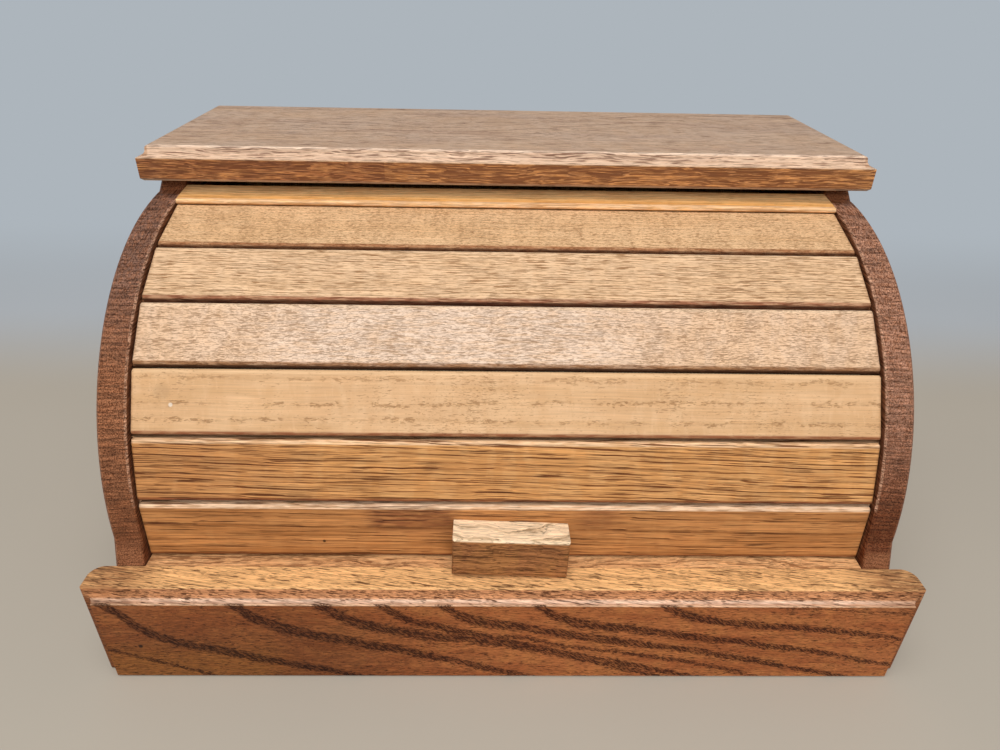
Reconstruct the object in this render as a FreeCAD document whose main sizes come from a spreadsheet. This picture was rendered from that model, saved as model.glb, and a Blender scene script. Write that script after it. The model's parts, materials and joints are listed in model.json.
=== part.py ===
"""Oak bread box with a roll-up tambour shutter and a drawer under its floor.

All sizes are millimetres. The frame has +Z up, the front facing -Y, and its origin on the table
at the middle of the whole outline. The driving sizes are the cells of the sheet "Sizes"; every
sketch, length and place is bound to them, so a changed cell moves what depends on it.

The cabinet is two side panels that carry a moulded top board, a header, a floor and a back. A
circular track is routed in each side panel. The tambour is a row of slats glued on canvas: the
tongue at each slat's end runs in the track, so the whole row turns about the track's axis. The
drawer rides on two runners under the floor, and its moulded front overlaps the cabinet.
"""
import FreeCAD, Part
import math
import os
from types import SimpleNamespace

import Sketcher

SIZES = {
    # cabinet
    "body_width": 408.0,          # over the two side panels
    "side_thick": 15.0,
    "rim_lip": 3.0,               # the rim stands proud of the slats' flat faces
    "rim_set_back": 4.85,         # the rim's foremost reach, behind the side panel's foot
    "rim_start_rise": 13.2,       # the curve starts this far above the drawer front
    "rim_crown_lead": 9.8,        # the curve ends this far in front of the axis
    "shoulder_run": 10.5,         # from there a straight slope rises to the top board
    "body_rise": 8.1,             # the sides' upper edge, above the top of the curve's circle
    "rim_outer_ease": 1.6,        # worn bevel on the outer arris of the rim
    "rim_inner_ease": 0.7,        # worn bevel on the inner arris of the rim
    "axis_rise": 7.7,             # floor to the track's axis
    "housing_slack": 0.2,         # end play of a board let into a side panel
    # top board
    "top_lead": 22.15,            # the top board's front edge, in front of the axis
    "top_depth": 126.0,
    "top_thick": 18.7,
    "top_end_overhang": 3.0,
    "top_back_overhang": 3.0,
    "top_lower_ease": 1.5,        # bevel round the underside of the overhang
    "top_mould": 6.0,             # width and height of the moulded edge
    "top_bead": 1.7,              # radius of the bead at its upper end
    # header
    "header_lean": 8.3,           # degrees its face rises going back
    "header_nose": 5.2,           # its nose, in front of where it comes nearest the slats
    "header_depth": 23.2,
    "header_thick": 3.0,
    "header_clear": 0.3,          # over the slats that pass under it
    "header_round": 1.4,          # both edges of the nose
    "header_end_gap": 1.1,        # to the side panels
    "header_rebate": 3.6,         # width of the rebate along its back edge
    "header_tongue_thick": 1.6,   # what the rebate leaves
    "header_tongue_depth": 4.2,   # the tongue at each end, along the back edge
    "header_housing": 3.0,        # how far a tongue goes into the side panel
    # floor and back
    "floor_thick": 9.0,
    "floor_drop": 0.3,            # below the top edge of the drawer front
    "floor_housing": 5.0,
    "floor_stop": 12.0,           # the housing stops this far behind the side panel's foot
    "floor_end_gap": 0.8,         # at the floor's notched front corners
    "back_thick": 5.0,
    "back_rabbet": 6.0,
    "back_lift": 2.0,
    "back_slack": 0.3,
    # drawer frame
    "rail_depth": 20.0,
    "rail_thick": 10.0,
    "rail_lift": 2.0,
    "rail_housing": 4.0,
    "runner_width": 10.0,
    # tambour
    "slat_face_radius": 145.4,    # track's axis to a slat's flat face
    "slat_pitch": 13.75,          # degrees from slat to slat
    "slat_thick": 7.0,
    "slat_gap": 0.3,              # between slats, at the canvas
    "slat_round": 2.0,            # long edges of the face
    "slat_end_ease": 0.6,
    "top_slat_extra": 4.0,        # the top slat reaches this much further, under the header
    "slat_end_gap": 0.8,          # slat's shoulder to the side panel
    "tongue_thick": 3.2,
    "tongue_reach": 5.5,          # into the track
    "track_depth": 6.5,
    "track_play": 0.5,            # each side of a tongue
    "rest_gap": 0.3,              # closed tambour to the floor
    "canvas_thick": 0.8,
    "canvas_inset": 8.0,          # canvas edge to the side panel
    # handle
    "handle_width": 59.3,
    "handle_height": 23.0,
    "handle_reach": 15.7,
    "handle_drop": 4.5,           # its middle below the middle of the slat
    "handle_offset": 1.2,         # its middle right of the middle of the slat
    "handle_tilt": 2.0,           # degrees, as it was glued
    "handle_round": 1.4,
    # drawer
    "front_end_overhang": 11.0,   # past the side panels
    "front_height": 60.8,
    "front_thick": 20.0,
    "front_gap": 1.0,             # above the table
    "front_clear": 0.4,           # to the side panels' feet
    "front_mould": 6.3,
    "front_bead": 1.5,
    "front_round": 7.0,           # upright corners at the back of its ends
    "box_side_gap": 1.0,
    "box_back_gap": 17.5,         # to the back panel
    "box_board": 9.0,
    "box_run_gap": 0.3,           # over the runners
    "box_head_gap": 1.5,          # under the floor
    "bottom_thick": 4.0,
    "bottom_lift": 6.0,
    "bottom_groove": 4.0,
    # fastenings
    "dowel_radius": 4.0,
    "dowel_in_top": 12.0,
    "dowel_in_side": 12.0,
    "dowel_front_inset": 38.0,    # from the top board's front edge
    "dowel_back_inset": 25.0,     # from its back edge
    "screw_radius": 1.75,
    "screw_head_radius": 3.4,
    "runner_screw_length": 20.0,
    "handle_screw_length": 16.0,
    "front_screw_length": 22.0,
    "front_screw_inset": 44.0,    # from the drawer's sides
    "front_screw_low_rise": 5.0,  # above the drawer's bottom
    "front_screw_high_drop": 12.0,  # below the drawer's top edge
    "nail_radius": 0.8,
    "nail_head_radius": 1.8,
    "nail_head_height": 0.6,
    "nail_length": 18.0,
    "back_nail_inset": 12.0,      # from the back's upper and lower edges
    "drawer_nail_inset": 6.0,     # from the drawer's bottom and top edge
    "fit_play": 0.05,             # round a dowel or a screw's shank
}

SLAT_COUNT = 6
CUT_MARGIN = 2.0                  # how far a cutting outline runs past the wood it cuts
SAME_PLACE = 0.01                 # places closer than this are the same one
LEAST_CHANGE = 0.01               # volume that a pad or a pocket has to add or take away
PARALLEL = 0.999                  # cosine from which two directions count as parallel
BACK_NAILS_PER_SIDE = 5
BACK_NAILS_PER_BOARD = 3
SCREWS_PER_RUNNER = 3


class Size:
    """A size as the sheet's expression for it, with the value it has now."""

    def __init__(self, text, value):
        self.text = text
        self.value = value

    def _with(self, other, sign, value, swap=False):
        other_text = other.text if isinstance(other, Size) else repr(float(other))
        left, right = (other_text, self.text) if swap else (self.text, other_text)
        return Size("(%s %s %s)" % (left, sign, right), value)

    def __add__(self, other):
        return self._with(other, "+", self.value + number(other))

    __radd__ = __add__

    def __sub__(self, other):
        return self._with(other, "-", self.value - number(other))

    def __rsub__(self, other):
        return self._with(other, "-", number(other) - self.value, swap=True)

    def __mul__(self, other):
        return self._with(other, "*", self.value * number(other))

    __rmul__ = __mul__

    def __truediv__(self, other):
        return self._with(other, "/", self.value / number(other))

    def __neg__(self):
        return Size("(-1 * %s)" % self.text, -self.value)


def number(size):
    """Present value of a size or of a plain number."""
    return size.value if isinstance(size, Size) else float(size)


def text(size):
    """Sheet expression of a size or of a plain number."""
    return size.text if isinstance(size, Size) else repr(float(size))


def root(size):
    return Size("sqrt(%s)" % size.text, math.sqrt(size.value))


def sine(degrees):
    return Size("sin(%s * 1 deg)" % text(degrees), math.sin(math.radians(number(degrees))))


def cosine(degrees):
    return Size("cos(%s * 1 deg)" % text(degrees), math.cos(math.radians(number(degrees))))


def tangent(degrees):
    return Size("tan(%s * 1 deg)" % text(degrees), math.tan(math.radians(number(degrees))))


def arc_tangent(ratio):
    return Size("(atan(%s) / 1 deg)" % ratio.text, math.degrees(math.atan(ratio.value)))


def arc_sine(ratio):
    return Size("(asin(%s) / 1 deg)" % ratio.text, math.degrees(math.asin(ratio.value)))


# ---------------------------------------------------------------- document and derived places

doc = FreeCAD.newDocument("BreadBox")
sheet = doc.addObject("Spreadsheet::Sheet", "Sizes")
for row, (alias, value) in enumerate(SIZES.items(), start=1):
    sheet.set("A%d" % row, alias)
    sheet.set("B%d" % row, str(value))
    sheet.setAlias("B%d" % row, alias)
doc.recompute()
size = SimpleNamespace(**{alias: Size("Sizes.%s" % alias, value) for alias, value in SIZES.items()})

OUTER_X = size.body_width / 2
INNER_X = OUTER_X - size.side_thick
RIM_RADIUS = size.slat_face_radius + size.rim_lip
FOOT_SET_BACK = size.front_thick + size.front_clear
AXIS_SET_BACK = FOOT_SET_BACK + size.rim_set_back + RIM_RADIUS
FRONT_Y = -(AXIS_SET_BACK - size.top_lead + size.top_depth) / 2
FOOT_Y = FRONT_Y + FOOT_SET_BACK
AXIS_Y = FRONT_Y + AXIS_SET_BACK
CROWN_Y = AXIS_Y - size.rim_crown_lead
SHOULDER_Y = CROWN_Y + size.shoulder_run
TOP_FRONT_Y = AXIS_Y - size.top_lead
TOP_BACK_Y = TOP_FRONT_Y + size.top_depth
BACK_Y = TOP_BACK_Y - size.top_back_overhang
BACK_INNER_Y = BACK_Y - size.back_thick
SILL_Z = size.front_gap + size.front_height
RIM_START_Z = SILL_Z + size.rim_start_rise
FLOOR_TOP_Z = SILL_Z - size.floor_drop
FLOOR_UNDER_Z = FLOOR_TOP_Z - size.floor_thick
AXIS_Z = FLOOR_TOP_Z + size.axis_rise
BODY_TOP_Z = AXIS_Z + RIM_RADIUS + size.body_rise
RAIL_TOP_Z = size.rail_lift + size.rail_thick
FRONT_RAIL_Y = FOOT_Y + size.housing_slack
FRONT_RAIL_BACK_Y = FRONT_RAIL_Y + size.rail_depth
BACK_RAIL_Y = BACK_INNER_Y - size.rail_depth

SLAT_BACK_RADIUS = size.slat_face_radius - size.slat_thick
SLAT_WIDTH = SLAT_BACK_RADIUS * 2 * tangent(size.slat_pitch / 2) - size.slat_gap
SLAT_HEEL_RADIUS = root(SLAT_BACK_RADIUS * SLAT_BACK_RADIUS + SLAT_WIDTH * SLAT_WIDTH / 4)
HEEL_ANGLE = arc_tangent(SLAT_WIDTH / 2 / SLAT_BACK_RADIUS)
FIRST_SLAT_ANGLE = arc_sine((FLOOR_TOP_Z + size.rest_gap - AXIS_Z) / SLAT_HEEL_RADIUS) + HEEL_ANGLE
TONGUE_FACE_RADIUS = SLAT_BACK_RADIUS + size.tongue_thick
TONGUE_CORNER_RADIUS = root(TONGUE_FACE_RADIUS * TONGUE_FACE_RADIUS + SLAT_WIDTH * SLAT_WIDTH / 4)
TRACK_OUTER = TONGUE_CORNER_RADIUS + size.track_play
TRACK_INNER = SLAT_BACK_RADIUS - size.track_play

TOP_SLAT_REACH = SLAT_WIDTH / 2 + size.top_slat_extra
EDGE_RADIUS = size.slat_face_radius - size.slat_round
EDGE_REACH = TOP_SLAT_REACH - size.slat_round
SWEEP_RADIUS = root(EDGE_RADIUS * EDGE_RADIUS + EDGE_REACH * EDGE_REACH) + size.slat_round
HEADER_UNDER_RADIUS = SWEEP_RADIUS + size.header_clear
HEADER_FACE_RADIUS = HEADER_UNDER_RADIUS + size.header_thick
HEADER_TONGUE_RADIUS = HEADER_UNDER_RADIUS + size.header_tongue_thick
HEADER_TAIL = size.header_depth - size.header_nose

BOX_OUTER_X = INNER_X - size.box_side_gap
BOX_INNER_X = BOX_OUTER_X - size.box_board
BOX_FRONT_Y = FRONT_Y + size.front_thick
BOX_BACK_Y = BACK_INNER_Y - size.box_back_gap
BOX_FOOT_Z = RAIL_TOP_Z + size.box_run_gap
BOX_TOP_Z = FLOOR_UNDER_Z - size.box_head_gap
BOTTOM_UNDER_Z = BOX_FOOT_Z + size.bottom_lift
BOTTOM_TOP_Z = BOTTOM_UNDER_Z + size.bottom_thick

SHANK_HOLE_RADIUS = size.screw_radius + size.fit_play
HEAD_SINK = size.screw_head_radius - size.screw_radius


# ---------------------------------------------------------------- sketches and features

def new_body(label):
    """An empty body whose label is its node's name."""
    body = doc.addObject("PartDesign::Body", label)
    body.Label = label
    return body


def new_sketch(body, name, role, offset=0.0):
    """A sketch on one of the body's own origin planes, moved along the plane's normal."""
    sketch = body.newObject("Sketcher::SketchObject", name)
    plane = next(item for item in body.Origin.OriginFeatures if item.Role == role)
    sketch.AttachmentSupport = (plane, "")
    sketch.MapMode = "FlatFace"
    sketch.setExpression("AttachmentOffset.Base.z", text(offset))
    return sketch


def fix_point(sketch, edge, end, point):
    """Hold one end of an edge at bound distances from the sketch's origin."""
    for kind, distance in zip(("DistanceX", "DistanceY"), point):
        index = sketch.addConstraint(Sketcher.Constraint(kind, edge, end, number(distance)))
        sketch.setExpression("Constraints[%d]" % index, text(distance))


def draw_loop(sketch, points, arcs=None):
    """Draw a closed outline of straight and round edges.

    Edge number i runs from point i to the next one. arcs gives a round edge's centre and radius
    by its number; the short way round the centre is taken.
    """
    arcs = arcs or {}
    spots = [FreeCAD.Vector(number(across), number(up), 0) for across, up in points]
    starts = []
    ends = []
    for i, spot in enumerate(spots):
        following = spots[(i + 1) % len(spots)]
        if i not in arcs:
            edge = sketch.addGeometry(Part.LineSegment(spot, following), False)
            starts.append((edge, 1))
            ends.append((edge, 2))
            continue
        centre, radius = arcs[i]
        middle = FreeCAD.Vector(number(centre[0]), number(centre[1]), 0)
        first, last = spot - middle, following - middle
        forwards = first.cross(last).z > 0
        low, high = (first, last) if forwards else (last, first)
        low_angle = math.atan2(low.y, low.x)
        high_angle = math.atan2(high.y, high.x)
        circle = Part.Circle(middle, FreeCAD.Vector(0, 0, 1), number(radius))
        edge = sketch.addGeometry(Part.ArcOfCircle(circle, low_angle, high_angle), False)
        starts.append((edge, 1 if forwards else 2))
        ends.append((edge, 2 if forwards else 1))
        index = sketch.addConstraint(Sketcher.Constraint("Radius", edge, number(radius)))
        sketch.setExpression("Constraints[%d]" % index, text(radius))
    for i, end in enumerate(ends):
        start = starts[(i + 1) % len(starts)]
        sketch.addConstraint(Sketcher.Constraint("Coincident", end[0], end[1], start[0], start[1]))
    for start, point in zip(starts, points):
        fix_point(sketch, start[0], start[1], point)


def draw_box(sketch, low_x, high_x, low_y, high_y):
    """Draw a rectangle between two bound corners."""
    draw_loop(sketch, [(low_x, low_y), (high_x, low_y), (high_x, high_y), (low_x, high_y)])


def draw_circles(sketch, centres, radius):
    """Draw equal circles at bound places."""
    for centre in centres:
        middle = FreeCAD.Vector(number(centre[0]), number(centre[1]), 0)
        edge = sketch.addGeometry(Part.Circle(middle, FreeCAD.Vector(0, 0, 1), number(radius)), False)
        fix_point(sketch, edge, 3, centre)
        index = sketch.addConstraint(Sketcher.Constraint("Radius", edge, number(radius)))
        sketch.setExpression("Constraints[%d]" % index, text(radius))


def extrude(body, kind, name, sketch, length, symmetric=False, backwards=False):
    """Pad or pocket a sketch by a bound length, and make sure that it changed the body."""
    volume = body.Shape.Volume if body.Tip else 0.0
    feature = body.newObject("PartDesign::" + kind, name)
    feature.Profile = sketch
    feature.SideType = "Symmetric" if symmetric else "One side"
    feature.Reversed = backwards
    feature.setExpression("Length", text(length))
    body.Tip = feature
    doc.recompute()
    if abs(body.Shape.Volume - volume) < LEAST_CHANGE:
        raise RuntimeError("%s of %s changes nothing" % (name, body.Label))
    return feature


def pad(body, name, sketch, length, symmetric=False, backwards=False):
    return extrude(body, "Pad", name, sketch, length, symmetric, backwards)


def pocket(body, name, sketch, length, symmetric=False, backwards=False):
    return extrude(body, "Pocket", name, sketch, length, symmetric, backwards)


def ease(body, kind, name, amount, wanted):
    """Fillet or chamfer the edges whose middle point and direction the wanted test accepts."""
    base = body.Tip
    chosen = []
    for i, edge in enumerate(base.Shape.Edges, start=1):
        middle = edge.valueAt((edge.FirstParameter + edge.LastParameter) / 2)
        if wanted(middle, edge):
            chosen.append("Edge%d" % i)
    feature = body.newObject("PartDesign::" + kind, name)
    feature.Base = (base, chosen)
    feature.setExpression("Radius" if kind == "Fillet" else "Size", text(amount))
    body.Tip = feature
    doc.recompute()
    return feature


def is_round(edge):
    """True for an edge that lies on a circle."""
    return edge.Curve.TypeId == "Part::GeomCircle"


def runs_along(edge, axis):
    """True for a straight edge parallel to an axis."""
    if edge.Curve.TypeId != "Part::GeomLine":
        return False
    return abs(edge.tangentAt(edge.FirstParameter).dot(axis)) > PARALLEL


def near(value, target):
    return abs(value - number(target)) < SAME_PLACE


X_AXIS = FreeCAD.Vector(1, 0, 0)
Y_AXIS = FreeCAD.Vector(0, 1, 0)
Z_AXIS = FreeCAD.Vector(0, 0, 1)


def edge_mould(sketch, face, top, width, bead, outward):
    """Section cut away along a moulded edge: a bead that runs out into a cove.

    face is the upright face's place across the sketch and top the board's upper face. outward is
    +1 where the face looks along the sketch's first axis and -1 where it looks against it.
    """
    cove = width - bead
    inner = face - outward * width
    neck = face - outward * cove
    past = face + outward * CUT_MARGIN
    points = [(inner, top), (neck, top - bead), (face, top - width), (past, top - width),
              (past, top + CUT_MARGIN), (inner, top + CUT_MARGIN)]
    arcs = {0: ((inner, top - bead), bead), 1: ((face, top - bead), cove)}
    draw_loop(sketch, points, arcs)


# ---------------------------------------------------------------- cabinet

def dowel_rows():
    """Places along a side panel's upper edge at which a dowel stands."""
    return [TOP_FRONT_Y + size.dowel_front_inset, TOP_BACK_Y - size.dowel_back_inset]


def dowel_x(side):
    return side * (OUTER_X - size.side_thick / 2)


def runner_screw_rows():
    """Places of the screws along a runner."""
    length = BACK_RAIL_Y - FRONT_RAIL_BACK_Y
    return [FRONT_RAIL_BACK_Y + length * ((i + 0.5) / SCREWS_PER_RUNNER) for i in range(SCREWS_PER_RUNNER)]


RUNNER_SCREW_Z = size.rail_lift + size.rail_thick / 2


def header_place(along, out):
    """Place in the side view: along the header's face from its nearest to the slats, out from the axis."""
    level, rise = cosine(size.header_lean), sine(size.header_lean)
    return AXIS_Y + along * level - out * rise, AXIS_Z + along * rise + out * level


def draw_header_tongue(sketch, slack=0.0):
    """Draw the section of the header's tongues, or with slack that of their housings."""
    front = HEADER_TAIL - size.header_tongue_depth - slack
    corners = [(front, HEADER_UNDER_RADIUS), (HEADER_TAIL, HEADER_UNDER_RADIUS),
               (HEADER_TAIL, HEADER_TONGUE_RADIUS), (front, HEADER_TONGUE_RADIUS)]
    draw_loop(sketch, [header_place(along, out) for along, out in corners])


def side_panel(name, side):
    """A side panel with its curved rim, the tambour's track and the housings for the boards."""
    body = new_body(name)
    outer_offset = -OUTER_X if side < 0 else INNER_X
    outline = new_sketch(body, name + "_outline", "YZ_Plane", outer_offset)
    start_rise = RIM_START_Z - AXIS_Z
    rim_start_y = AXIS_Y - root(RIM_RADIUS * RIM_RADIUS - start_rise * start_rise)
    rim_end_z = AXIS_Z + root(RIM_RADIUS * RIM_RADIUS - size.rim_crown_lead * size.rim_crown_lead)
    points = [(FOOT_Y, 0.0), (FOOT_Y, SILL_Z), (rim_start_y, RIM_START_Z), (CROWN_Y, rim_end_z),
              (SHOULDER_Y, BODY_TOP_Z), (BACK_Y, BODY_TOP_Z), (BACK_Y, 0.0)]
    draw_loop(outline, points, {2: ((AXIS_Y, AXIS_Z), RIM_RADIUS)})
    pad(body, name + "_board", outline, size.side_thick)

    def on_rim(middle):
        in_front = middle.y < SHOULDER_Y.value
        return in_front and SILL_Z.value < middle.z < BODY_TOP_Z.value - SAME_PLACE

    ease(body, "Chamfer", name + "_outer_arris", size.rim_outer_ease,
         lambda middle, edge: on_rim(middle) and near(middle.x, side * OUTER_X))
    ease(body, "Chamfer", name + "_inner_arris", size.rim_inner_ease,
         lambda middle, edge: on_rim(middle) and near(middle.x, side * INNER_X))

    def cut(suffix, depth):
        """A sketch on the inner face, and the call that sinks it into the panel."""
        sketch = new_sketch(body, name + suffix, "YZ_Plane", side * INNER_X)
        return sketch, lambda: pocket(body, name + suffix + "_cut", sketch, depth, backwards=side > 0)

    def height_on(radius, y):
        return AXIS_Z + root(radius * radius - (y - AXIS_Y) * (y - AXIS_Y))

    def depth_on(radius, z):
        return AXIS_Y - root(radius * radius - (z - AXIS_Z) * (z - AXIS_Z))

    sketch, sink = cut("_track", size.track_depth)
    centre = (AXIS_Y, AXIS_Z)
    points = [(depth_on(TRACK_OUTER, FLOOR_TOP_Z), FLOOR_TOP_Z), (AXIS_Y, AXIS_Z + TRACK_OUTER),
              (BACK_INNER_Y, height_on(TRACK_OUTER, BACK_INNER_Y)),
              (BACK_INNER_Y, height_on(TRACK_INNER, BACK_INNER_Y)),
              (AXIS_Y, AXIS_Z + TRACK_INNER), (depth_on(TRACK_INNER, FLOOR_TOP_Z), FLOOR_TOP_Z)]
    draw_loop(sketch, points, {0: (centre, TRACK_OUTER), 1: (centre, TRACK_OUTER),
                               3: (centre, TRACK_INNER), 4: (centre, TRACK_INNER)})
    sink()

    sketch, sink = cut("_floor_housing", size.floor_housing)
    draw_box(sketch, FOOT_Y + size.floor_stop, BACK_INNER_Y, FLOOR_UNDER_Z, FLOOR_TOP_Z)
    sink()

    sketch, sink = cut("_header_housing", size.header_housing)
    draw_header_tongue(sketch, size.housing_slack)
    sink()

    sketch, sink = cut("_rail_housings", size.rail_housing)
    draw_box(sketch, FRONT_RAIL_Y, FRONT_RAIL_BACK_Y, size.rail_lift, RAIL_TOP_Z)
    draw_box(sketch, BACK_RAIL_Y, BACK_INNER_Y, size.rail_lift, RAIL_TOP_Z)
    sink()

    sketch, sink = cut("_back_rabbet", size.back_rabbet)
    draw_box(sketch, BACK_INNER_Y, BACK_Y + CUT_MARGIN, -CUT_MARGIN, BODY_TOP_Z + CUT_MARGIN)
    sink()

    sketch, sink = cut("_runner_screw_holes", size.runner_screw_length - size.runner_width + CUT_MARGIN)
    draw_circles(sketch, [(y, RUNNER_SCREW_Z) for y in runner_screw_rows()], SHANK_HOLE_RADIUS)
    sink()

    sketch = new_sketch(body, name + "_dowel_holes", "XY_Plane", BODY_TOP_Z)
    draw_circles(sketch, [(dowel_x(side), y) for y in dowel_rows()], size.dowel_radius + size.fit_play)
    pocket(body, name + "_dowel_holes_cut", sketch, size.dowel_in_side + size.housing_slack)
    return body


def top_board():
    """The top board, moulded on its front and ends and plain at the back."""
    body = new_body("top_board")
    plan = new_sketch(body, "top_plan", "XY_Plane", BODY_TOP_Z)
    half = OUTER_X + size.top_end_overhang
    draw_box(plan, -half, half, TOP_FRONT_Y, TOP_BACK_Y)
    pad(body, "top_blank", plan, size.top_thick)
    top = BODY_TOP_Z + size.top_thick

    def under_overhang(middle, edge):
        if not near(middle.z, BODY_TOP_Z):
            return False
        return near(abs(middle.x), half) or near(middle.y, TOP_FRONT_Y)

    ease(body, "Chamfer", "top_lower_arris", size.top_lower_ease, under_overhang)
    front = new_sketch(body, "top_front_mould", "YZ_Plane")
    edge_mould(front, TOP_FRONT_Y, top, size.top_mould, size.top_bead, -1)
    pocket(body, "top_front_mould_cut", front, half * 2 + CUT_MARGIN, symmetric=True)
    ends = new_sketch(body, "top_end_moulds", "XZ_Plane")
    edge_mould(ends, -half, top, size.top_mould, size.top_bead, -1)
    edge_mould(ends, half, top, size.top_mould, size.top_bead, 1)
    pocket(body, "top_end_moulds_cut", ends, TOP_BACK_Y * 2 + CUT_MARGIN, symmetric=True)
    holes = new_sketch(body, "top_dowel_holes", "XY_Plane", BODY_TOP_Z)
    places = [(dowel_x(side), y) for side in (-1, 1) for y in dowel_rows()]
    draw_circles(holes, places, size.dowel_radius + size.fit_play)
    pocket(body, "top_dowel_holes_cut", holes, size.dowel_in_top + size.housing_slack, backwards=True)
    return body


def header_rail():
    """The thin strip over the tambour's upper end: a rounded nose, a rebated back edge and tongues."""
    body = new_body("header_rail")
    section = new_sketch(body, "header_section", "YZ_Plane")
    front, step = -size.header_nose, HEADER_TAIL - size.header_rebate
    corners = [(front, HEADER_UNDER_RADIUS), (HEADER_TAIL, HEADER_UNDER_RADIUS),
               (HEADER_TAIL, HEADER_TONGUE_RADIUS), (step, HEADER_TONGUE_RADIUS),
               (step, HEADER_FACE_RADIUS), (front, HEADER_FACE_RADIUS)]
    draw_loop(section, [header_place(along, out) for along, out in corners])
    pad(body, "header_blank", section, 2 * (INNER_X - size.header_end_gap), symmetric=True)
    nearest_y = number(header_place(0.0, HEADER_UNDER_RADIUS)[0])
    ease(body, "Fillet", "header_nose_edges", size.header_round,
         lambda middle, edge: runs_along(edge, X_AXIS) and middle.y < nearest_y)
    tongues = new_sketch(body, "header_tongues", "YZ_Plane")
    draw_header_tongue(tongues)
    housed_half = INNER_X + size.header_housing - size.housing_slack
    pad(body, "header_tongues_pad", tongues, 2 * housed_half, symmetric=True)
    return body


def floor_board():
    """The bread compartment's floor: let into the sides, with notched front corners."""
    body = new_body("floor_board")
    plan = new_sketch(body, "floor_plan", "XY_Plane", FLOOR_UNDER_Z)
    short = INNER_X - size.floor_end_gap
    long = INNER_X + size.floor_housing - size.housing_slack
    shoulder = FOOT_Y + size.floor_stop + size.housing_slack
    points = [(-short, FOOT_Y), (short, FOOT_Y), (short, shoulder), (long, shoulder),
              (long, BACK_INNER_Y), (-long, BACK_INNER_Y), (-long, shoulder), (-short, shoulder)]
    draw_loop(plan, points)
    pad(body, "floor_blank", plan, size.floor_thick)
    return body


def back_panel():
    """The thin back, set in the side panels' rabbets."""
    body = new_body("back_panel")
    plan = new_sketch(body, "back_plan", "XZ_Plane", -BACK_Y)
    half = INNER_X + size.back_rabbet - size.back_slack
    draw_box(plan, -half, half, size.back_lift, BODY_TOP_Z - size.back_slack)
    pad(body, "back_blank", plan, size.back_thick)
    return body


def rail(name, low_y):
    """A cross rail of the frame under the drawer, housed in both sides."""
    body = new_body(name)
    plan = new_sketch(body, name + "_plan", "XY_Plane", size.rail_lift)
    half = INNER_X + size.rail_housing - size.housing_slack
    draw_box(plan, -half, half, low_y, low_y + size.rail_depth)
    pad(body, name + "_blank", plan, size.rail_thick)
    return body


def runner(name, side):
    """A drawer runner between the two rails, screwed to the side panel."""
    body = new_body(name)
    plan = new_sketch(body, name + "_plan", "XY_Plane", size.rail_lift)
    near_x, far_x = side * INNER_X, side * (INNER_X - size.runner_width)
    low_x, high_x = (near_x, far_x) if side < 0 else (far_x, near_x)
    draw_box(plan, low_x, high_x, FRONT_RAIL_BACK_Y, BACK_RAIL_Y)
    pad(body, name + "_blank", plan, size.rail_thick)
    holes = new_sketch(body, name + "_holes", "YZ_Plane", far_x)
    draw_circles(holes, [(y, RUNNER_SCREW_Z) for y in runner_screw_rows()], SHANK_HOLE_RADIUS)
    pocket(body, name + "_holes_cut", holes, size.runner_width, backwards=side > 0)
    ease(body, "Chamfer", name + "_sinks", HEAD_SINK,
         lambda middle, edge: is_round(edge) and near(middle.x, far_x))
    return body


# ---------------------------------------------------------------- tambour

def slat_angle(index):
    """Angle of a slat's middle above the level line in front of the track's axis."""
    return FIRST_SLAT_ANGLE + size.slat_pitch * index


def hang_on_axis(body, angle):
    """Put a piece drawn about the track's axis at its angle round it."""
    body.setExpression("Placement.Base.y", text(AXIS_Y))
    body.setExpression("Placement.Base.z", text(AXIS_Z))
    body.Placement.Rotation = FreeCAD.Rotation(X_AXIS, -number(angle))
    body.setExpression("Placement.Rotation.Axis.x", "1")
    body.setExpression("Placement.Rotation.Axis.y", "0")
    body.setExpression("Placement.Rotation.Axis.z", "0")
    body.setExpression("Placement.Rotation.Angle", text(-angle))


def handle_screw_places():
    """Across and up from the slat's middle: two screws, each halfway out along the handle."""
    return [(size.handle_offset + side * size.handle_width / 4, -size.handle_drop) for side in (-1, 1)]


def tambour_slat(index):
    """A slat with a flat face, eased edges and a thin tongue at each end."""
    name = "tambour_slat_%d" % (index + 1)
    body = new_body(name)
    half = SLAT_WIDTH / 2
    reach = TOP_SLAT_REACH if index == SLAT_COUNT - 1 else half
    face = new_sketch(body, name + "_face", "YZ_Plane")
    draw_box(face, -size.slat_face_radius, -SLAT_BACK_RADIUS, -half, reach)
    pad(body, name + "_blank", face, 2 * (INNER_X - size.slat_end_gap), symmetric=True)
    ease(body, "Fillet", name + "_edges", size.slat_round,
         lambda middle, edge: runs_along(edge, X_AXIS) and near(middle.y, -size.slat_face_radius))
    ease(body, "Chamfer", name + "_ends", size.slat_end_ease,
         lambda middle, edge: runs_along(edge, Z_AXIS) and near(middle.y, -size.slat_face_radius))
    tongue = new_sketch(body, name + "_tongue", "YZ_Plane")
    draw_box(tongue, -TONGUE_FACE_RADIUS, -SLAT_BACK_RADIUS, -half, half)
    pad(body, name + "_tongues", tongue, 2 * (INNER_X + size.tongue_reach), symmetric=True)
    if index == 0:
        holes = new_sketch(body, name + "_screw_holes", "XZ_Plane", SLAT_BACK_RADIUS)
        draw_circles(holes, handle_screw_places(), SHANK_HOLE_RADIUS)
        pocket(body, name + "_screw_holes_cut", holes, size.slat_thick, backwards=True)
        ease(body, "Chamfer", name + "_sinks", HEAD_SINK,
             lambda middle, edge: is_round(edge) and near(middle.y, -SLAT_BACK_RADIUS))
    hang_on_axis(body, slat_angle(index))
    return body


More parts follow.
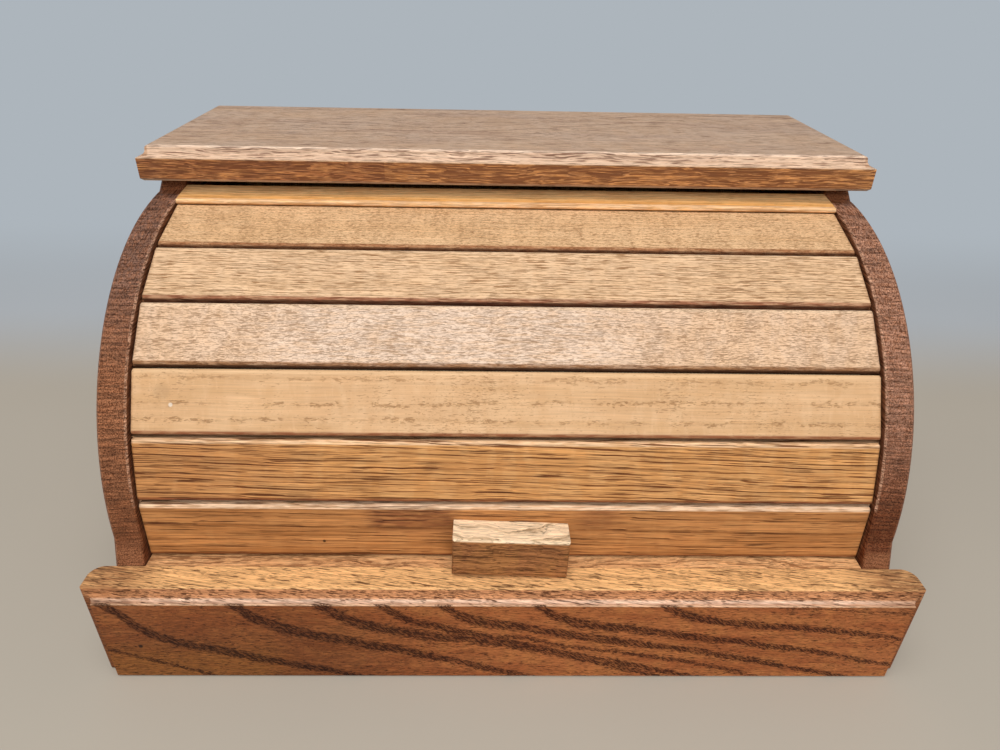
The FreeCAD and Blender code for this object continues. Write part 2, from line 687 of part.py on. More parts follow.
def tambour_canvas():
    """The canvas glued across the backs of the slats, bent between one slat and the next."""
    body = new_body("tambour_canvas")
    section = new_sketch(body, "canvas_section", "YZ_Plane")
    fold = cosine(size.slat_pitch / 2)
    outer = SLAT_BACK_RADIUS / fold
    inner = (SLAT_BACK_RADIUS - size.canvas_thick) / fold
    first = FIRST_SLAT_ANGLE - size.slat_pitch / 2
    angles = [first + size.slat_pitch * i for i in range(SLAT_COUNT + 1)]
    ring = [(outer, angle) for angle in angles] + [(inner, angle) for angle in reversed(angles)]
    draw_loop(section, [(-radius * cosine(angle), radius * sine(angle)) for radius, angle in ring])
    pad(body, "canvas_sheet", section, 2 * (INNER_X - size.canvas_inset), symmetric=True)
    body.setExpression("Placement.Base.y", text(AXIS_Y))
    body.setExpression("Placement.Base.z", text(AXIS_Z))
    return body


def tambour_handle():
    """The small block that lifts the tambour, glued a little crooked on the lowest slat."""
    body = new_body("tambour_handle")
    plan = new_sketch(body, "handle_plan", "XZ_Plane", size.slat_face_radius)
    plan.setExpression("AttachmentOffset.Base.x", text(size.handle_offset))
    plan.setExpression("AttachmentOffset.Base.y", text(-size.handle_drop))
    plan.setExpression("AttachmentOffset.Rotation.Angle", text(-size.handle_tilt))
    half_width = size.handle_width / 2
    half_height = size.handle_height / 2
    draw_box(plan, -half_width, half_width, -half_height, half_height)
    pad(body, "handle_blank", plan, size.handle_reach)
    front = -(size.slat_face_radius + size.handle_reach)
    ease(body, "Fillet", "handle_edges", size.handle_round, lambda middle, edge: near(middle.y, front))
    holes = new_sketch(body, "handle_screw_holes", "XZ_Plane", size.slat_face_radius)
    draw_circles(holes, handle_screw_places(), SHANK_HOLE_RADIUS)
    depth = size.handle_screw_length - size.slat_thick + size.housing_slack
    pocket(body, "handle_screw_holes_cut", holes, depth, backwards=True)
    hang_on_axis(body, slat_angle(0))
    return body


# ---------------------------------------------------------------- drawer

def drawer_front():
    """The drawer's thick front, moulded along its top and up both ends."""
    body = new_body("drawer_front")
    half = OUTER_X + size.front_end_overhang
    plan = new_sketch(body, "front_plan", "XY_Plane", size.front_gap)
    draw_box(plan, -half, half, FRONT_Y, BOX_FRONT_Y)
    pad(body, "front_blank", plan, size.front_height)
    ease(body, "Fillet", "front_back_corners", size.front_round,
         lambda middle, edge: runs_along(edge, Z_AXIS) and near(middle.y, BOX_FRONT_Y))
    top = new_sketch(body, "front_top_mould", "YZ_Plane")
    edge_mould(top, FRONT_Y, SILL_Z, size.front_mould, size.front_bead, -1)
    pocket(body, "front_top_mould_cut", top, half * 2 + CUT_MARGIN, symmetric=True)
    ends = new_sketch(body, "front_end_moulds", "XY_Plane", SILL_Z + CUT_MARGIN)
    cove = size.front_mould - size.front_bead
    for side in (-1, 1):
        edge = side * half
        inner = side * (half - size.front_mould)
        past = side * (half + CUT_MARGIN)
        points = [(edge, FRONT_Y + size.front_mould), (side * (half - size.front_bead), FRONT_Y + cove),
                  (inner, FRONT_Y), (inner, FRONT_Y - CUT_MARGIN), (past, FRONT_Y - CUT_MARGIN),
                  (past, FRONT_Y + size.front_mould)]
        bead_centre = (side * (half - size.front_bead), FRONT_Y + size.front_mould)
        cove_centre = (side * (half - size.front_bead), FRONT_Y)
        draw_loop(ends, points, {0: (bead_centre, size.front_bead), 1: (cove_centre, cove)})
    pocket(body, "front_end_moulds_cut", ends, size.front_height + CUT_MARGIN * 2)
    holes = new_sketch(body, "front_screw_holes", "XZ_Plane", -BOX_FRONT_Y)
    draw_circles(holes, front_screw_places(), SHANK_HOLE_RADIUS)
    depth = size.front_screw_length - size.box_board + size.housing_slack
    pocket(body, "front_screw_holes_cut", holes, depth, backwards=True)
    return body


def front_screw_places():
    """Across and up: four screws through the box front into the drawer front."""
    across = BOX_INNER_X - size.front_screw_inset
    heights = (BOTTOM_TOP_Z + size.front_screw_low_rise, BOX_TOP_Z - size.front_screw_high_drop)
    return [(side * across, height) for side in (-1, 1) for height in heights]


def drawer_box_front():
    """The box's own front board, grooved for the bottom and drilled for the front's screws."""
    body = new_body("drawer_box_front")
    plan = new_sketch(body, "box_front_plan", "XZ_Plane", -(BOX_FRONT_Y + size.box_board))
    draw_box(plan, -BOX_INNER_X, BOX_INNER_X, BOX_FOOT_Z, BOX_TOP_Z)
    pad(body, "box_front_blank", plan, size.box_board)
    groove = new_sketch(body, "box_front_groove", "YZ_Plane")
    inside = BOX_FRONT_Y + size.box_board
    draw_box(groove, inside - size.bottom_groove, inside + CUT_MARGIN, BOTTOM_UNDER_Z, BOTTOM_TOP_Z)
    pocket(body, "box_front_groove_cut", groove, BOX_INNER_X * 2 + CUT_MARGIN, symmetric=True)
    holes = new_sketch(body, "box_front_holes", "XZ_Plane", -inside)
    draw_circles(holes, front_screw_places(), SHANK_HOLE_RADIUS)
    pocket(body, "box_front_holes_cut", holes, size.box_board, backwards=True)
    ease(body, "Chamfer", "box_front_sinks", HEAD_SINK,
         lambda middle, edge: is_round(edge) and near(middle.y, inside))
    return body


def drawer_side(name, side):
    """A side of the drawer box, grooved for the bottom."""
    body = new_body(name)
    outline = new_sketch(body, name + "_outline", "YZ_Plane", -BOX_OUTER_X if side < 0 else BOX_INNER_X)
    draw_box(outline, BOX_FRONT_Y, BOX_BACK_Y, BOX_FOOT_Z, BOX_TOP_Z)
    pad(body, name + "_blank", outline, size.box_board)
    groove = new_sketch(body, name + "_groove", "YZ_Plane", side * BOX_INNER_X)
    low_y = BOX_FRONT_Y + size.box_board - size.bottom_groove
    draw_box(groove, low_y, BOX_BACK_Y + CUT_MARGIN, BOTTOM_UNDER_Z, BOTTOM_TOP_Z)
    pocket(body, name + "_groove_cut", groove, size.bottom_groove, backwards=side > 0)
    return body


def drawer_back():
    """The box's back board, standing on the bottom."""
    body = new_body("drawer_back")
    plan = new_sketch(body, "box_back_plan", "XZ_Plane", -BOX_BACK_Y)
    draw_box(plan, -BOX_INNER_X, BOX_INNER_X, BOTTOM_TOP_Z, BOX_TOP_Z)
    pad(body, "box_back_blank", plan, size.box_board)
    return body


def drawer_bottom():
    """The thin bottom, held in the grooves of the sides and the box front."""
    body = new_body("drawer_bottom")
    plan = new_sketch(body, "bottom_plan", "XY_Plane", BOTTOM_UNDER_Z)
    half = BOX_INNER_X + size.bottom_groove - size.housing_slack
    low_y = BOX_FRONT_Y + size.box_board - size.bottom_groove + size.housing_slack
    draw_box(plan, -half, half, low_y, BOX_BACK_Y)
    pad(body, "bottom_blank", plan, size.bottom_thick)
    return body


# ---------------------------------------------------------------- fastenings

def place(solid, x, y, z, direction):
    """Bind a primitive's foot and turn its own +Z along a direction."""
    turn = FreeCAD.Rotation(Z_AXIS, direction)
    solid.Placement = FreeCAD.Placement(FreeCAD.Vector(number(x), number(y), number(z)), turn)
    for axis, distance in zip("xyz", (x, y, z)):
        solid.setExpression("Placement.Base." + axis, text(distance))


def cylinder(name, radius, length, x, y, z, direction):
    solid = doc.addObject("Part::Cylinder", name)
    solid.setExpression("Radius", text(radius))
    solid.setExpression("Height", text(length))
    place(solid, x, y, z, direction)
    return solid


def group(label, solids):
    """Join like fastenings into one node; each stays a solid of its own."""
    joined = doc.addObject("Part::Compound", label)
    joined.Label = label
    joined.Links = solids
    return joined


def screw(name, length, x, y, z, direction):
    """A countersunk screw: its head's flat face at the given place, pointing along direction."""
    head = doc.addObject("Part::Cone", name + "_head")
    head.setExpression("Radius1", text(size.screw_head_radius))
    head.setExpression("Radius2", text(size.screw_radius))
    head.setExpression("Height", text(HEAD_SINK))
    place(head, x, y, z, direction)
    shank = cylinder(name + "_shank", size.screw_radius, length, x, y, z, direction)
    whole = doc.addObject("Part::Fuse", name)
    whole.Base = head
    whole.Tool = shank
    return whole


def nail(name, x, y, z, direction):
    """A small nail: the underside of its head at the given place, pointing along direction."""
    head = cylinder(name + "_head", size.nail_head_radius, size.nail_head_height, x, y, z, -direction)
    shank = cylinder(name + "_shank", size.nail_radius, size.nail_length, x, y, z, direction)
    whole = doc.addObject("Part::Fuse", name)
    whole.Base = head
    whole.Tool = shank
    return whole


def top_dowels():
    """Wooden dowels that join the top board to the side panels."""
    length = size.dowel_in_side + size.dowel_in_top
    low_z = BODY_TOP_Z - size.dowel_in_side
    places = [(side, y) for side in (-1, 1) for y in dowel_rows()]
    dowels = [cylinder("dowel_%d" % i, size.dowel_radius, length, dowel_x(side), y, low_z, Z_AXIS)
              for i, (side, y) in enumerate(places)]
    return group("top_dowels", dowels)


def runner_screws():
    """Screws through the runners into the side panels."""
    screws = []
    for side in (-1, 1):
        for i, y in enumerate(runner_screw_rows()):
            name = "runner_screw_%s_%d" % ("left" if side < 0 else "right", i)
            screws.append(screw(name, size.runner_screw_length, side * (INNER_X - size.runner_width),
                                y, RUNNER_SCREW_Z, X_AXIS * side))
    return group("runner_screws", screws)


def back_nails():
    """Nails through the back into the sides, the floor and the back rail."""
    low_z = size.back_lift + size.back_nail_inset
    rise = (BODY_TOP_Z - size.back_nail_inset - low_z) / (BACK_NAILS_PER_SIDE - 1)
    places = [(side * (INNER_X + size.back_rabbet / 2), low_z + rise * i)
              for side in (-1, 1) for i in range(BACK_NAILS_PER_SIDE)]
    for z in (FLOOR_UNDER_Z + size.floor_thick / 2, size.rail_lift + size.rail_thick / 2):
        for i in range(BACK_NAILS_PER_BOARD):
            places.append((INNER_X * (2 * (i + 0.5) / BACK_NAILS_PER_BOARD - 1), z))
    nails = [nail("back_nail_%d" % i, x, BACK_Y, z, -Y_AXIS) for i, (x, z) in enumerate(places)]
    return group("back_nails", nails)


def handle_screws():
    """Screws from behind the lowest slat into the handle."""
    screws = [screw("handle_screw_%d" % i, size.handle_screw_length, x, -SLAT_BACK_RADIUS, z, -Y_AXIS)
              for i, (x, z) in enumerate(handle_screw_places())]
    joined = group("handle_screws", screws)
    hang_on_axis(joined, slat_angle(0))
    return joined


def front_screws():
    """Screws from inside the drawer into its front."""
    inside = BOX_FRONT_Y + size.box_board
    screws = [screw("front_screw_%d" % i, size.front_screw_length, x, inside, z, -Y_AXIS)
              for i, (x, z) in enumerate(front_screw_places())]
    return group("drawer_front_screws", screws)


def drawer_nails():
    """Nails through the drawer's sides into its box front and back."""
    nails = []
    rows = (BOX_FRONT_Y + size.box_board / 2, BOX_BACK_Y - size.box_board / 2)
    heights = (BOTTOM_TOP_Z + size.drawer_nail_inset, BOX_TOP_Z - size.drawer_nail_inset)
    for side in (-1, 1):
        for y in rows:
            for z in heights:
                name = "drawer_nail_%d" % len(nails)
                nails.append(nail(name, side * BOX_OUTER_X, y, z, X_AXIS * -side))
    return group("drawer_nails", nails)


# ---------------------------------------------------------------- build, check and write

def build_all():
    """Make every sub-part of the bread box."""
    pieces = [side_panel("side_panel_left", -1), side_panel("side_panel_right", 1), top_board(),
              header_rail(), floor_board(), back_panel(), rail("drawer_rail_front", FRONT_RAIL_Y),
              rail("drawer_rail_back", BACK_RAIL_Y), runner("drawer_runner_left", -1),
              runner("drawer_runner_right", 1)]
    pieces += [tambour_slat(index) for index in range(SLAT_COUNT)]
    pieces += [tambour_canvas(), tambour_handle()]
    pieces += [drawer_front(), drawer_box_front(), drawer_side("drawer_side_left", -1),
               drawer_side("drawer_side_right", 1), drawer_back(), drawer_bottom()]
    pieces += [top_dowels(), runner_screws(), back_nails(), handle_screws(), front_screws(), drawer_nails()]
    return pieces


def check(pieces):
    """Stop if an object failed or a piece isn't a valid solid."""
    for item in doc.Objects:
        bad = [word for word in ("Invalid", "Error") if word in item.State]
        if bad:
            raise RuntimeError("%s is %s" % (item.Label, ", ".join(bad)))
    for piece in pieces:
        if piece.Shape.isNull() or not piece.Shape.isValid() or not piece.Shape.Solids:
            raise RuntimeError("%s has no valid solid" % piece.Label)


def write(pieces):
    """Write each piece to its own file."""
    os.makedirs("parts", exist_ok=True)
    for piece in pieces:
        piece.Shape.exportStep("parts/%s.step" % piece.Label)


all_pieces = build_all()
doc.recompute()
check(all_pieces)
write(all_pieces)
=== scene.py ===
"""Looks of the oak bread box: its finishes, its canvas, the light and the camera.

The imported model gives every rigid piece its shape. This script gives each piece the finish of the
real one, lays a woven canvas behind the tambour's slats and sets up floor, light and camera.
Lengths in the dataclasses are millimetres; Blender's own lengths are metres.
"""
import json
import logging
import math
from dataclasses import dataclass, replace
from enum import Enum
from statistics import NormalDist
from typing import Any, Optional, Union

import bpy
from mathutils import Matrix, Vector


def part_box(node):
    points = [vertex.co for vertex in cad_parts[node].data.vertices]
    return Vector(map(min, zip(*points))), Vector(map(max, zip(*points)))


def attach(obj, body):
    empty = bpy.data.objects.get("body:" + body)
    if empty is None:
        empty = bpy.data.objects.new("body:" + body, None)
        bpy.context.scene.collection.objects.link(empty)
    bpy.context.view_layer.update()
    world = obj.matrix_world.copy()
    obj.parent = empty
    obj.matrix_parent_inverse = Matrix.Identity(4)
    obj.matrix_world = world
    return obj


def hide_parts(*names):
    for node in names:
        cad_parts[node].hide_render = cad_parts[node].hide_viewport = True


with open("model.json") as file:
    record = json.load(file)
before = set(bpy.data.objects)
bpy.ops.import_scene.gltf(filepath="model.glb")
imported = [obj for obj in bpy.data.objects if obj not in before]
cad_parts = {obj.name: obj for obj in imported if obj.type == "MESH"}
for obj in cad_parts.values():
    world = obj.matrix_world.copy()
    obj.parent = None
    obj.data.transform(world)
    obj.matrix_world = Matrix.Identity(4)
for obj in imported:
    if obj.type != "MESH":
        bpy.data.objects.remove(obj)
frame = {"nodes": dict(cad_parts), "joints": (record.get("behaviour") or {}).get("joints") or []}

log = logging.getLogger("bread_box")

MM = 0.001
FAR = 1000.0                      # further than any piece reaches, in millimetres

RIGHT, BACK, UP = Vector((1, 0, 0)), Vector((0, 1, 0)), Vector((0, 0, 1))
LEFT, FRONT = Vector((-1, 0, 0)), Vector((0, -1, 0))

Colour = tuple[float, float, float, float]
Triple = tuple[float, float, float]
Span = tuple[float, float]
Wire = Union[bpy.types.Node, bpy.types.NodeSocket]
Inputs = Union[tuple[Any, ...], dict[str, Any]]

ALL: Span = (-FAR, FAR)           # a zone's limits where it has none
SMOOTH = {"interpolation_type": "SMOOTHSTEP"}
COLOURS = {"data_type": "RGBA"}


def linear(colour: str) -> Colour:
    """Turn an sRGB hex value into Blender's linear colour.

    Args:
        colour: Six hex digits, with or without a leading #.

    Returns:
        Red, green, blue and an alpha of one.
    """
    digits = colour.lstrip("#")
    channels = [int(digits[i:i + 2], 16) / 255 for i in (0, 2, 4)]
    parts = [c / 12.92 if c <= 0.04045 else ((c + 0.055) / 1.055) ** 2.4 for c in channels]
    return (parts[0], parts[1], parts[2], 1.0)


def span(first: float, last: float) -> Span:
    """Put two limits in order."""
    return (min(first, last), max(first, last))


class Shading:
    """A node tree, emptied, and the one way of adding to it."""

    def __init__(self, owner: Union[bpy.types.Material, bpy.types.World]) -> None:
        """Take over a tree and empty it.

        Args:
            owner: The material or world that the tree belongs to.
        """
        owner.use_nodes = True
        self.tree = owner.node_tree
        self.tree.nodes.clear()

    def fill(self, node: bpy.types.Node, inputs: Inputs) -> None:
        """Set or link a node's inputs.

        Args:
            node: The node that gets them.
            inputs: Values or links for the inputs in use, in their order or by name. A node
                given as a link stands for its first output in use.
        """
        sockets = [socket for socket in node.inputs if socket.enabled]
        if isinstance(inputs, dict):
            names = [socket.name for socket in sockets]
            sockets = [sockets[names.index(name)] for name in inputs]
            inputs = tuple(inputs.values())
        for socket, value in zip(sockets, inputs):
            if isinstance(value, bpy.types.Node):
                value = next(item for item in value.outputs if item.enabled)
            if isinstance(value, bpy.types.NodeSocket):
                self.tree.links.new(value, socket)
            else:
                socket.default_value = value

    def add(self, kind: str, inputs: Inputs = (), **settings: Any) -> bpy.types.Node:
        """Add a node with its settings, values and links.

        Args:
            kind: The node's type name without its leading ShaderNode.
            inputs: Values or links, as fill takes them. Those of a MapRange are a value, the
                range that it comes from and the range that it goes to.
            settings: Attributes to set on the node.

        Returns:
            The new node.
        """
        node = self.tree.nodes.new("ShaderNode" + kind)
        for name, value in settings.items():
            setattr(node, name, value)
        self.fill(node, inputs)
        return node


# ---------------------------------------------------------------- where things lie


@dataclass(frozen=True)
class Box:
    """A CAD node's box at rest, in millimetres."""

    low: Vector
    high: Vector

    @classmethod
    def of(cls, node: str) -> "Box":
        """Read a node's box from the frame."""
        low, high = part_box(node)
        return cls(low / MM, high / MM)

    @property
    def middle(self) -> Vector:
        """Centre of the box."""
        return (self.low + self.high) / 2


@dataclass(frozen=True)
class Lie:
    """How a board lies: its grain runs along one direction and its best face looks along another."""

    origin: Vector
    along: Vector
    out: Vector

    @property
    def turn(self) -> Matrix:
        """Rotation from the board's own axes (along, across, out) to the frame's."""
        across = self.out.cross(self.along)
        return Matrix((self.along, across, self.out)).transposed()


class Space(Enum):
    """The two sets of coordinates in which a place on a piece is given."""

    BOARD = "along the grain, across it, and out of the face, in millimetres"
    TRACK = "along X in millimetres, round the tambour's axis in degrees, and out from it"


@dataclass(frozen=True)
class TambourPlan:
    """Sizes of the tambour that its looks depend on."""

    slat_pitch: float = 13.75
    first_angle: float = 3.7705
    slat_width: float = 33.074
    face_radius: float = 145.4
    back_radius: float = 138.4
    rim_radius: float = 148.4
    top_slat_reach: float = 20.54
    slat_count: int = 6

    @property
    def axis(self) -> Vector:
        """A point on the tambour's axis."""
        joint = next(item for item in frame["joints"] if item["child"] == "tambour")
        return Vector(joint["pos_m"]) / MM

    def outward(self, degrees: float) -> Vector:
        """Direction from the axis at an angle above the level line in front of it."""
        return Vector((0, -math.cos(math.radians(degrees)), math.sin(math.radians(degrees))))

    def slat_lie(self, index: int) -> Lie:
        """Lie of a slat, with its origin at the middle of its face."""
        out = self.outward(self.first_angle + self.slat_pitch * index)
        return Lie(self.axis + out * self.face_radius, RIGHT, out)


TAMBOUR = TambourPlan()


# ---------------------------------------------------------------- what wood looks like


@dataclass(frozen=True)
class Grain:
    """How a board was sawn from the log, and how open its wood is.

    Lengths are millimetres. Where real pores are finer than the render can show, about 0.3 mm,
    they are drawn two to three times as wide.
    """

    ring: float = 2.4
    pith_across: float = 60.0
    pith_behind: float = 90.0
    lean: float = 0.0                 # degrees that the grain falls to the right
    skew: float = 0.0                 # degrees that it comes forward to the right
    wander: float = 1.6
    wander_length: float = 120.0
    early_share: float = 0.45
    ring_contrast: float = 0.6
    streak: float = 0.2
    streak_length: float = 36.0
    streak_width: float = 0.6
    pore_length: float = 9.0
    pore_width: float = 0.5
    pore_cover: float = 0.18          # share of the dense wood that pores cover
    pore_crowd: float = 0.10          # how much more open the early wood is
    pore_depth: float = 0.75
    fine_depth: float = 0.4
    clump: Triple = (26.0, 6.0, 6.0)
    clump_pull: float = 0.35
    fleck: float = 0.0
    mark_lean: float = 0.0            # degrees that the marks in a line of pores fall to the right
    mark_depth: float = 0.75
    line_depth: float = 0.7           # how dark the wood is between those marks
    seed: float = 1.0


@dataclass(frozen=True)
class Stain:
    """Colours of a stained board, as sRGB hex values."""

    late: str
    early: str
    pore: str
    bloom: str
    shade: str
    bloom_amount: float = 0.35
    shade_amount: float = 0.4


@dataclass(frozen=True)
class Varnish:
    """A thin brushed satin varnish, worn dull: smooth to the touch, its pores still open under it."""

    roughness: float = 0.50
    relief: float = 0.16              # depth of an open pore
    gloss: float = 0.28
    ior: float = 1.48


BARE_WOOD = Varnish(0.7, 0.08, 0.2)   # no coat at all: sanded, dry and dull
BARE_PLYWOOD = Stain(late="#cda679", early="#b58b5d", pore="#8a6440", bloom="#dcbc92", shade="#b08a60")


@dataclass(frozen=True)
class Zone:
    """A stretch of a piece coloured differently by wear, dirt and the cutter, and in places by painted light
    and shade.

    It reaches from the first to the second value of along, across and out. In Space.TRACK these
    are X, degrees round the axis, and the distance from it.
    """

    colour: str
    along: Span = ALL
    across: Span = ALL
    out: Span = ALL
    soft: float = 0.5
    strength: float = 0.8
    broken: float = 0.35
    space: Space = Space.BOARD
    openness: float = 0.0             # how much more its pores show; less where it is negative
    rim: float = 0.0                  # radius of the edge that it keeps to, in Space.TRACK


@dataclass(frozen=True)
class Spot:
    """A small round mark, such as a pinhole or a knot."""

    colour: str
    place: Triple
    radius: float
    strength: float = 0.9


@dataclass(frozen=True)
class Band:
    """A line of open pores where the face cuts slantwise through a growth ring.

    points are places along and across the board, from left to right, that the line runs through;
    it narrows or widens evenly from one width to the other.
    """

    points: tuple[tuple[float, float], ...]
    widths: tuple[float, float] = (4.0, 3.0)
    strength: float = 1.0
    broken: float = 0.0


class Finish(Shading):
    """One material, with a Principled shader and a few shared coordinates."""

    def __init__(self, name: str, lie: Lie) -> None:
        """Make the material and the coordinates.

        Args:
            name: The material's name, in a maker's plain words.
            lie: The axes that the finish follows.
        """
        self.material = bpy.data.materials.new(name)
        super().__init__(self.material)
        self.shader = self.add("BsdfPrincipled")
        self.output = self.add("OutputMaterial", {"Surface": self.shader})
        self.frame_place = self.add("TexCoord").outputs["Object"]
        self.place = self.add("Mapping", {
            "Vector": self.frame_place, "Location": lie.origin * MM,
            "Rotation": lie.turn.to_euler("XYZ"), "Scale": (MM, MM, MM)}, vector_type="TEXTURE")

    def noise(self, grid: Triple, seed: float, detail: float = 2.0, place: Optional[Wire] = None,
              distortion: float = 0.0) -> bpy.types.Node:
        """Soft noise whose cells have a given size along each axis of the board.

        Args:
            grid: Cell size along, across and out, in millimetres.
            seed: Moves the noise, so that no two boards match.
            detail: Number of finer layers.
            place: Coordinates to use in place of the board's own.
            distortion: How far the cells are pulled about.

        Returns:
            The noise node.
        """
        scaled = self.add("Mapping", {
            "Vector": place or self.place, "Location": (seed * 7.31, seed * 3.77, seed * 5.13),
            "Scale": tuple(1.0 / cell for cell in grid)})
        return self.add("TexNoise", {
            "Vector": scaled, "Scale": 1.0, "Detail": detail, "Distortion": distortion})

    def track_place(self) -> bpy.types.Node:
        """Work out coordinates round the tambour's axis.

        Returns:
            Coordinates in Space.TRACK: X, degrees round the axis, and radius.
        """
        moved = self.add("Mapping", {
            "Vector": self.frame_place, "Location": TAMBOUR.axis * MM, "Scale": (MM, MM, MM)},
            vector_type="TEXTURE")
        parts = self.add("SeparateXYZ", (moved,))
        ahead = self.add("Math", (parts.outputs[1], -1.0), operation="MULTIPLY")
        angle = self.add("Math", (parts.outputs[2], ahead), operation="ARCTAN2")
        degrees = self.add("Math", (angle,), operation="DEGREES")
        flat = self.add("CombineXYZ", (0.0, ahead, parts.outputs[2]))
        radius = self.add("VectorMath", (flat,), operation="LENGTH")
        return self.add("CombineXYZ", (parts.outputs[0], degrees, radius))


class WoodFinish(Finish):
    """Sawn wood with growth rings, open pores, stain, wear and varnish, and painted light and shade in
    places.
    """

    def __init__(self, name: str, lie: Lie, grain: Grain, stain: Stain, varnish: Varnish = Varnish(),
                 zones: tuple[Zone, ...] = (), spots: tuple[Spot, ...] = (), bands: tuple[Band, ...] = (),
                 ply: float = 0.0, tooled: float = 0.0) -> None:
        """Build the whole finish.

        Args:
            name: The material's name.
            lie: The board's axes.
            grain: How it was sawn.
            stain: Its colours.
            varnish: Its coat.
            zones: Stretches coloured by wear, dirt, painted light and painted shade, drawn in order.
            spots: Small marks.
            bands: Lines of open pores on a slantwise face.
            ply: Thickness of a veneer, for plywood.
            tooled: Strength of the saw's fine marks across a curved edge.
        """
        super().__init__(name, lie)
        self.grain = grain
        self.stain = stain
        self.polar: Optional[bpy.types.Node] = None
        if ply:
            self._cross_veneers(ply)
        self.flow = self._follow_grain()
        early = self._rings()
        band = self._bands(bands) if bands else None
        masks = [self._zone_mask(zone) for zone in zones]
        pores = self._pores(early, band, [(mask, zone.openness) for mask, zone in zip(masks, zones)])
        streak = self.noise((grain.streak_length, grain.streak_width, grain.streak_width), grain.seed + 3.1,
                            3.0, self.flow)
        colour = self._stained()
        for mask, zone in zip(masks, zones):
            colour = self._paint_zone(colour, zone, mask)
        colour = self._darken_rings(colour, early, streak, band)
        if tooled:
            colour = self._paint_tooling(colour, tooled)
        colour = self._darken(colour, stain.pore, pores)
        for spot in spots:
            colour = self._paint_spot(colour, spot)
        self._surface(colour, pores, streak, varnish)

    def _cross_veneers(self, ply: float) -> None:
        """Turn the grain of every second veneer across the others.

        Args:
            ply: Thickness of a veneer.
        """
        parts = self.add("SeparateXYZ", (self.place,))
        # a shade under half, and a shade in, so that each face lies inside its own veneer
        layer = self.add("Math", (parts.outputs[2], 0.485 / ply, -0.015), operation="MULTIPLY_ADD")
        half = self.add("Math", (layer,), operation="FRACT")
        turned = self.add("Math", (half, 0.5), operation="LESS_THAN")
        swapped = self.add("CombineXYZ", (parts.outputs[1], parts.outputs[0], parts.outputs[2]))
        self.place = self.add("Mix", (turned, self.place, swapped), data_type="VECTOR")

    def _follow_grain(self) -> bpy.types.Node:
        """Lean and wander with the grain, for rings, streaks and pores alike.

        Returns:
            Coordinates along, across and out of the grain.
        """
        grain = self.grain
        turned = self.add("Mapping", {
            "Vector": self.place, "Rotation": (0.0, math.radians(grain.skew), math.radians(grain.lean))})
        long_way = self.noise((grain.wander_length, 70.0, 70.0), grain.seed, 1.0, turned)
        short_way = self.noise((grain.wander_length / 5, 12.0, 12.0), grain.seed + 1.7, 2.0, turned)
        bow = self.add("MapRange", (long_way, 0.3, 0.7, -grain.wander, grain.wander), clamp=False)
        wave = self.add("MapRange", (short_way, 0.3, 0.7, -0.3 * grain.wander, 0.3 * grain.wander),
                        clamp=False)
        shift = self.add("Math", (bow, wave), operation="ADD")
        aside = self.add("CombineXYZ", (0.0, shift, shift))
        return self.add("VectorMath", (turned, aside), operation="ADD")

    def _rings(self) -> bpy.types.Node:
        """Draw growth rings round the pith, each from open early wood to dense late wood.

        Returns:
            How open the wood is, from zero to one.
        """
        grain = self.grain
        centred = self.add("VectorMath", (self.flow, (0.0, -grain.pith_across, grain.pith_behind)),
                           operation="ADD")
        flat = self.add("VectorMath", (centred, (0.0, 1.0, 1.0)), operation="MULTIPLY")
        radius = self.add("VectorMath", (flat,), operation="LENGTH")
        count = self.add("Math", (radius, grain.ring), operation="DIVIDE")
        slow = self.add("Math", (count, 0.37), operation="MULTIPLY")
        uneven = self.add("TexNoise", {"W": slow, "Scale": 1.0, "Detail": 1.0}, noise_dimensions="1D")
        count = self.add("Math", (count, uneven), operation="ADD")
        phase = self.add("Math", (count,), operation="FRACT")
        fading = self.add("MapRange", (phase, 0.0, grain.early_share, 1.0, 0.0), **SMOOTH)
        start = self.add("MapRange", (phase, 0.0, 0.12), **SMOOTH)
        return self.add("Math", (fading, start), operation="MULTIPLY")

    def _bands(self, bands: tuple[Band, ...]) -> bpy.types.Node:
        """Draw lines of open pores on the best face.

        Args:
            bands: The lines.

        Returns:
            Zero beside the lines and one in their middle.
        """
        wobble = self.noise((14.0, 6.0, 6.0), self.grain.seed + 9.0, 2.0)
        wobble = self.add("MapRange", (wobble, 0.3, 0.7, -0.9, 0.9))
        fray = self.noise((2.6, 1.0, 1.0), self.grain.seed + 4.0, 2.0)
        fray = self.add("MapRange", (fray, 0.3, 0.7, -1.3, 1.3))
        gaps = self.noise((13.0, 13.0, 13.0), self.grain.seed + 14.0, 2.0)
        parts = self.add("SeparateXYZ", (self.place,))
        up = self.add("Math", (parts.outputs[1], wobble), operation="ADD")
        whole: Optional[bpy.types.Node] = None
        for band in bands:
            (first, _), (last, _) = band.points[0], band.points[-1]
            low, high = (pick(height for _, height in band.points) for pick in (min, max))
            part = self.add("MapRange", (parts.outputs[0], first, last))
            line = self.add("FloatCurve", {"Value": part})
            knots = line.mapping.curves[0].points
            for number, (along, height) in enumerate(band.points):
                place = ((along - first) / (last - first), (height - low) / (high - low))
                if number == 0:
                    knots[0].location = place
                elif number == len(band.points) - 1:
                    knots[-1].location = place
                else:
                    knots.new(*place)
            line.mapping.update()
            height = self.add("Math", (line, high - low, low), operation="MULTIPLY_ADD")
            away = self.add("Math", (up, height), operation="SUBTRACT")
            away = self.add("Math", (away,), operation="ABSOLUTE")
            away = self.add("Math", (away, fray), operation="ADD")
            reach = self.add("MapRange", (part, 0.0, 1.0, band.widths[0] * 0.5, band.widths[1] * 0.5))
            near = self.add("Math", (away, reach), operation="DIVIDE")
            mask = self.add("MapRange", (near, 0.6, 1.3, band.strength, 0.0), **SMOOTH)
            between = self.add("Math", (part, 0.5, 0.499), operation="COMPARE")
            mask = self.add("Math", (mask, between), operation="MULTIPLY")
            if band.broken:
                shown = self.add("MapRange", (gaps, 0.44, 0.54, 1.0 - band.broken), **SMOOTH)
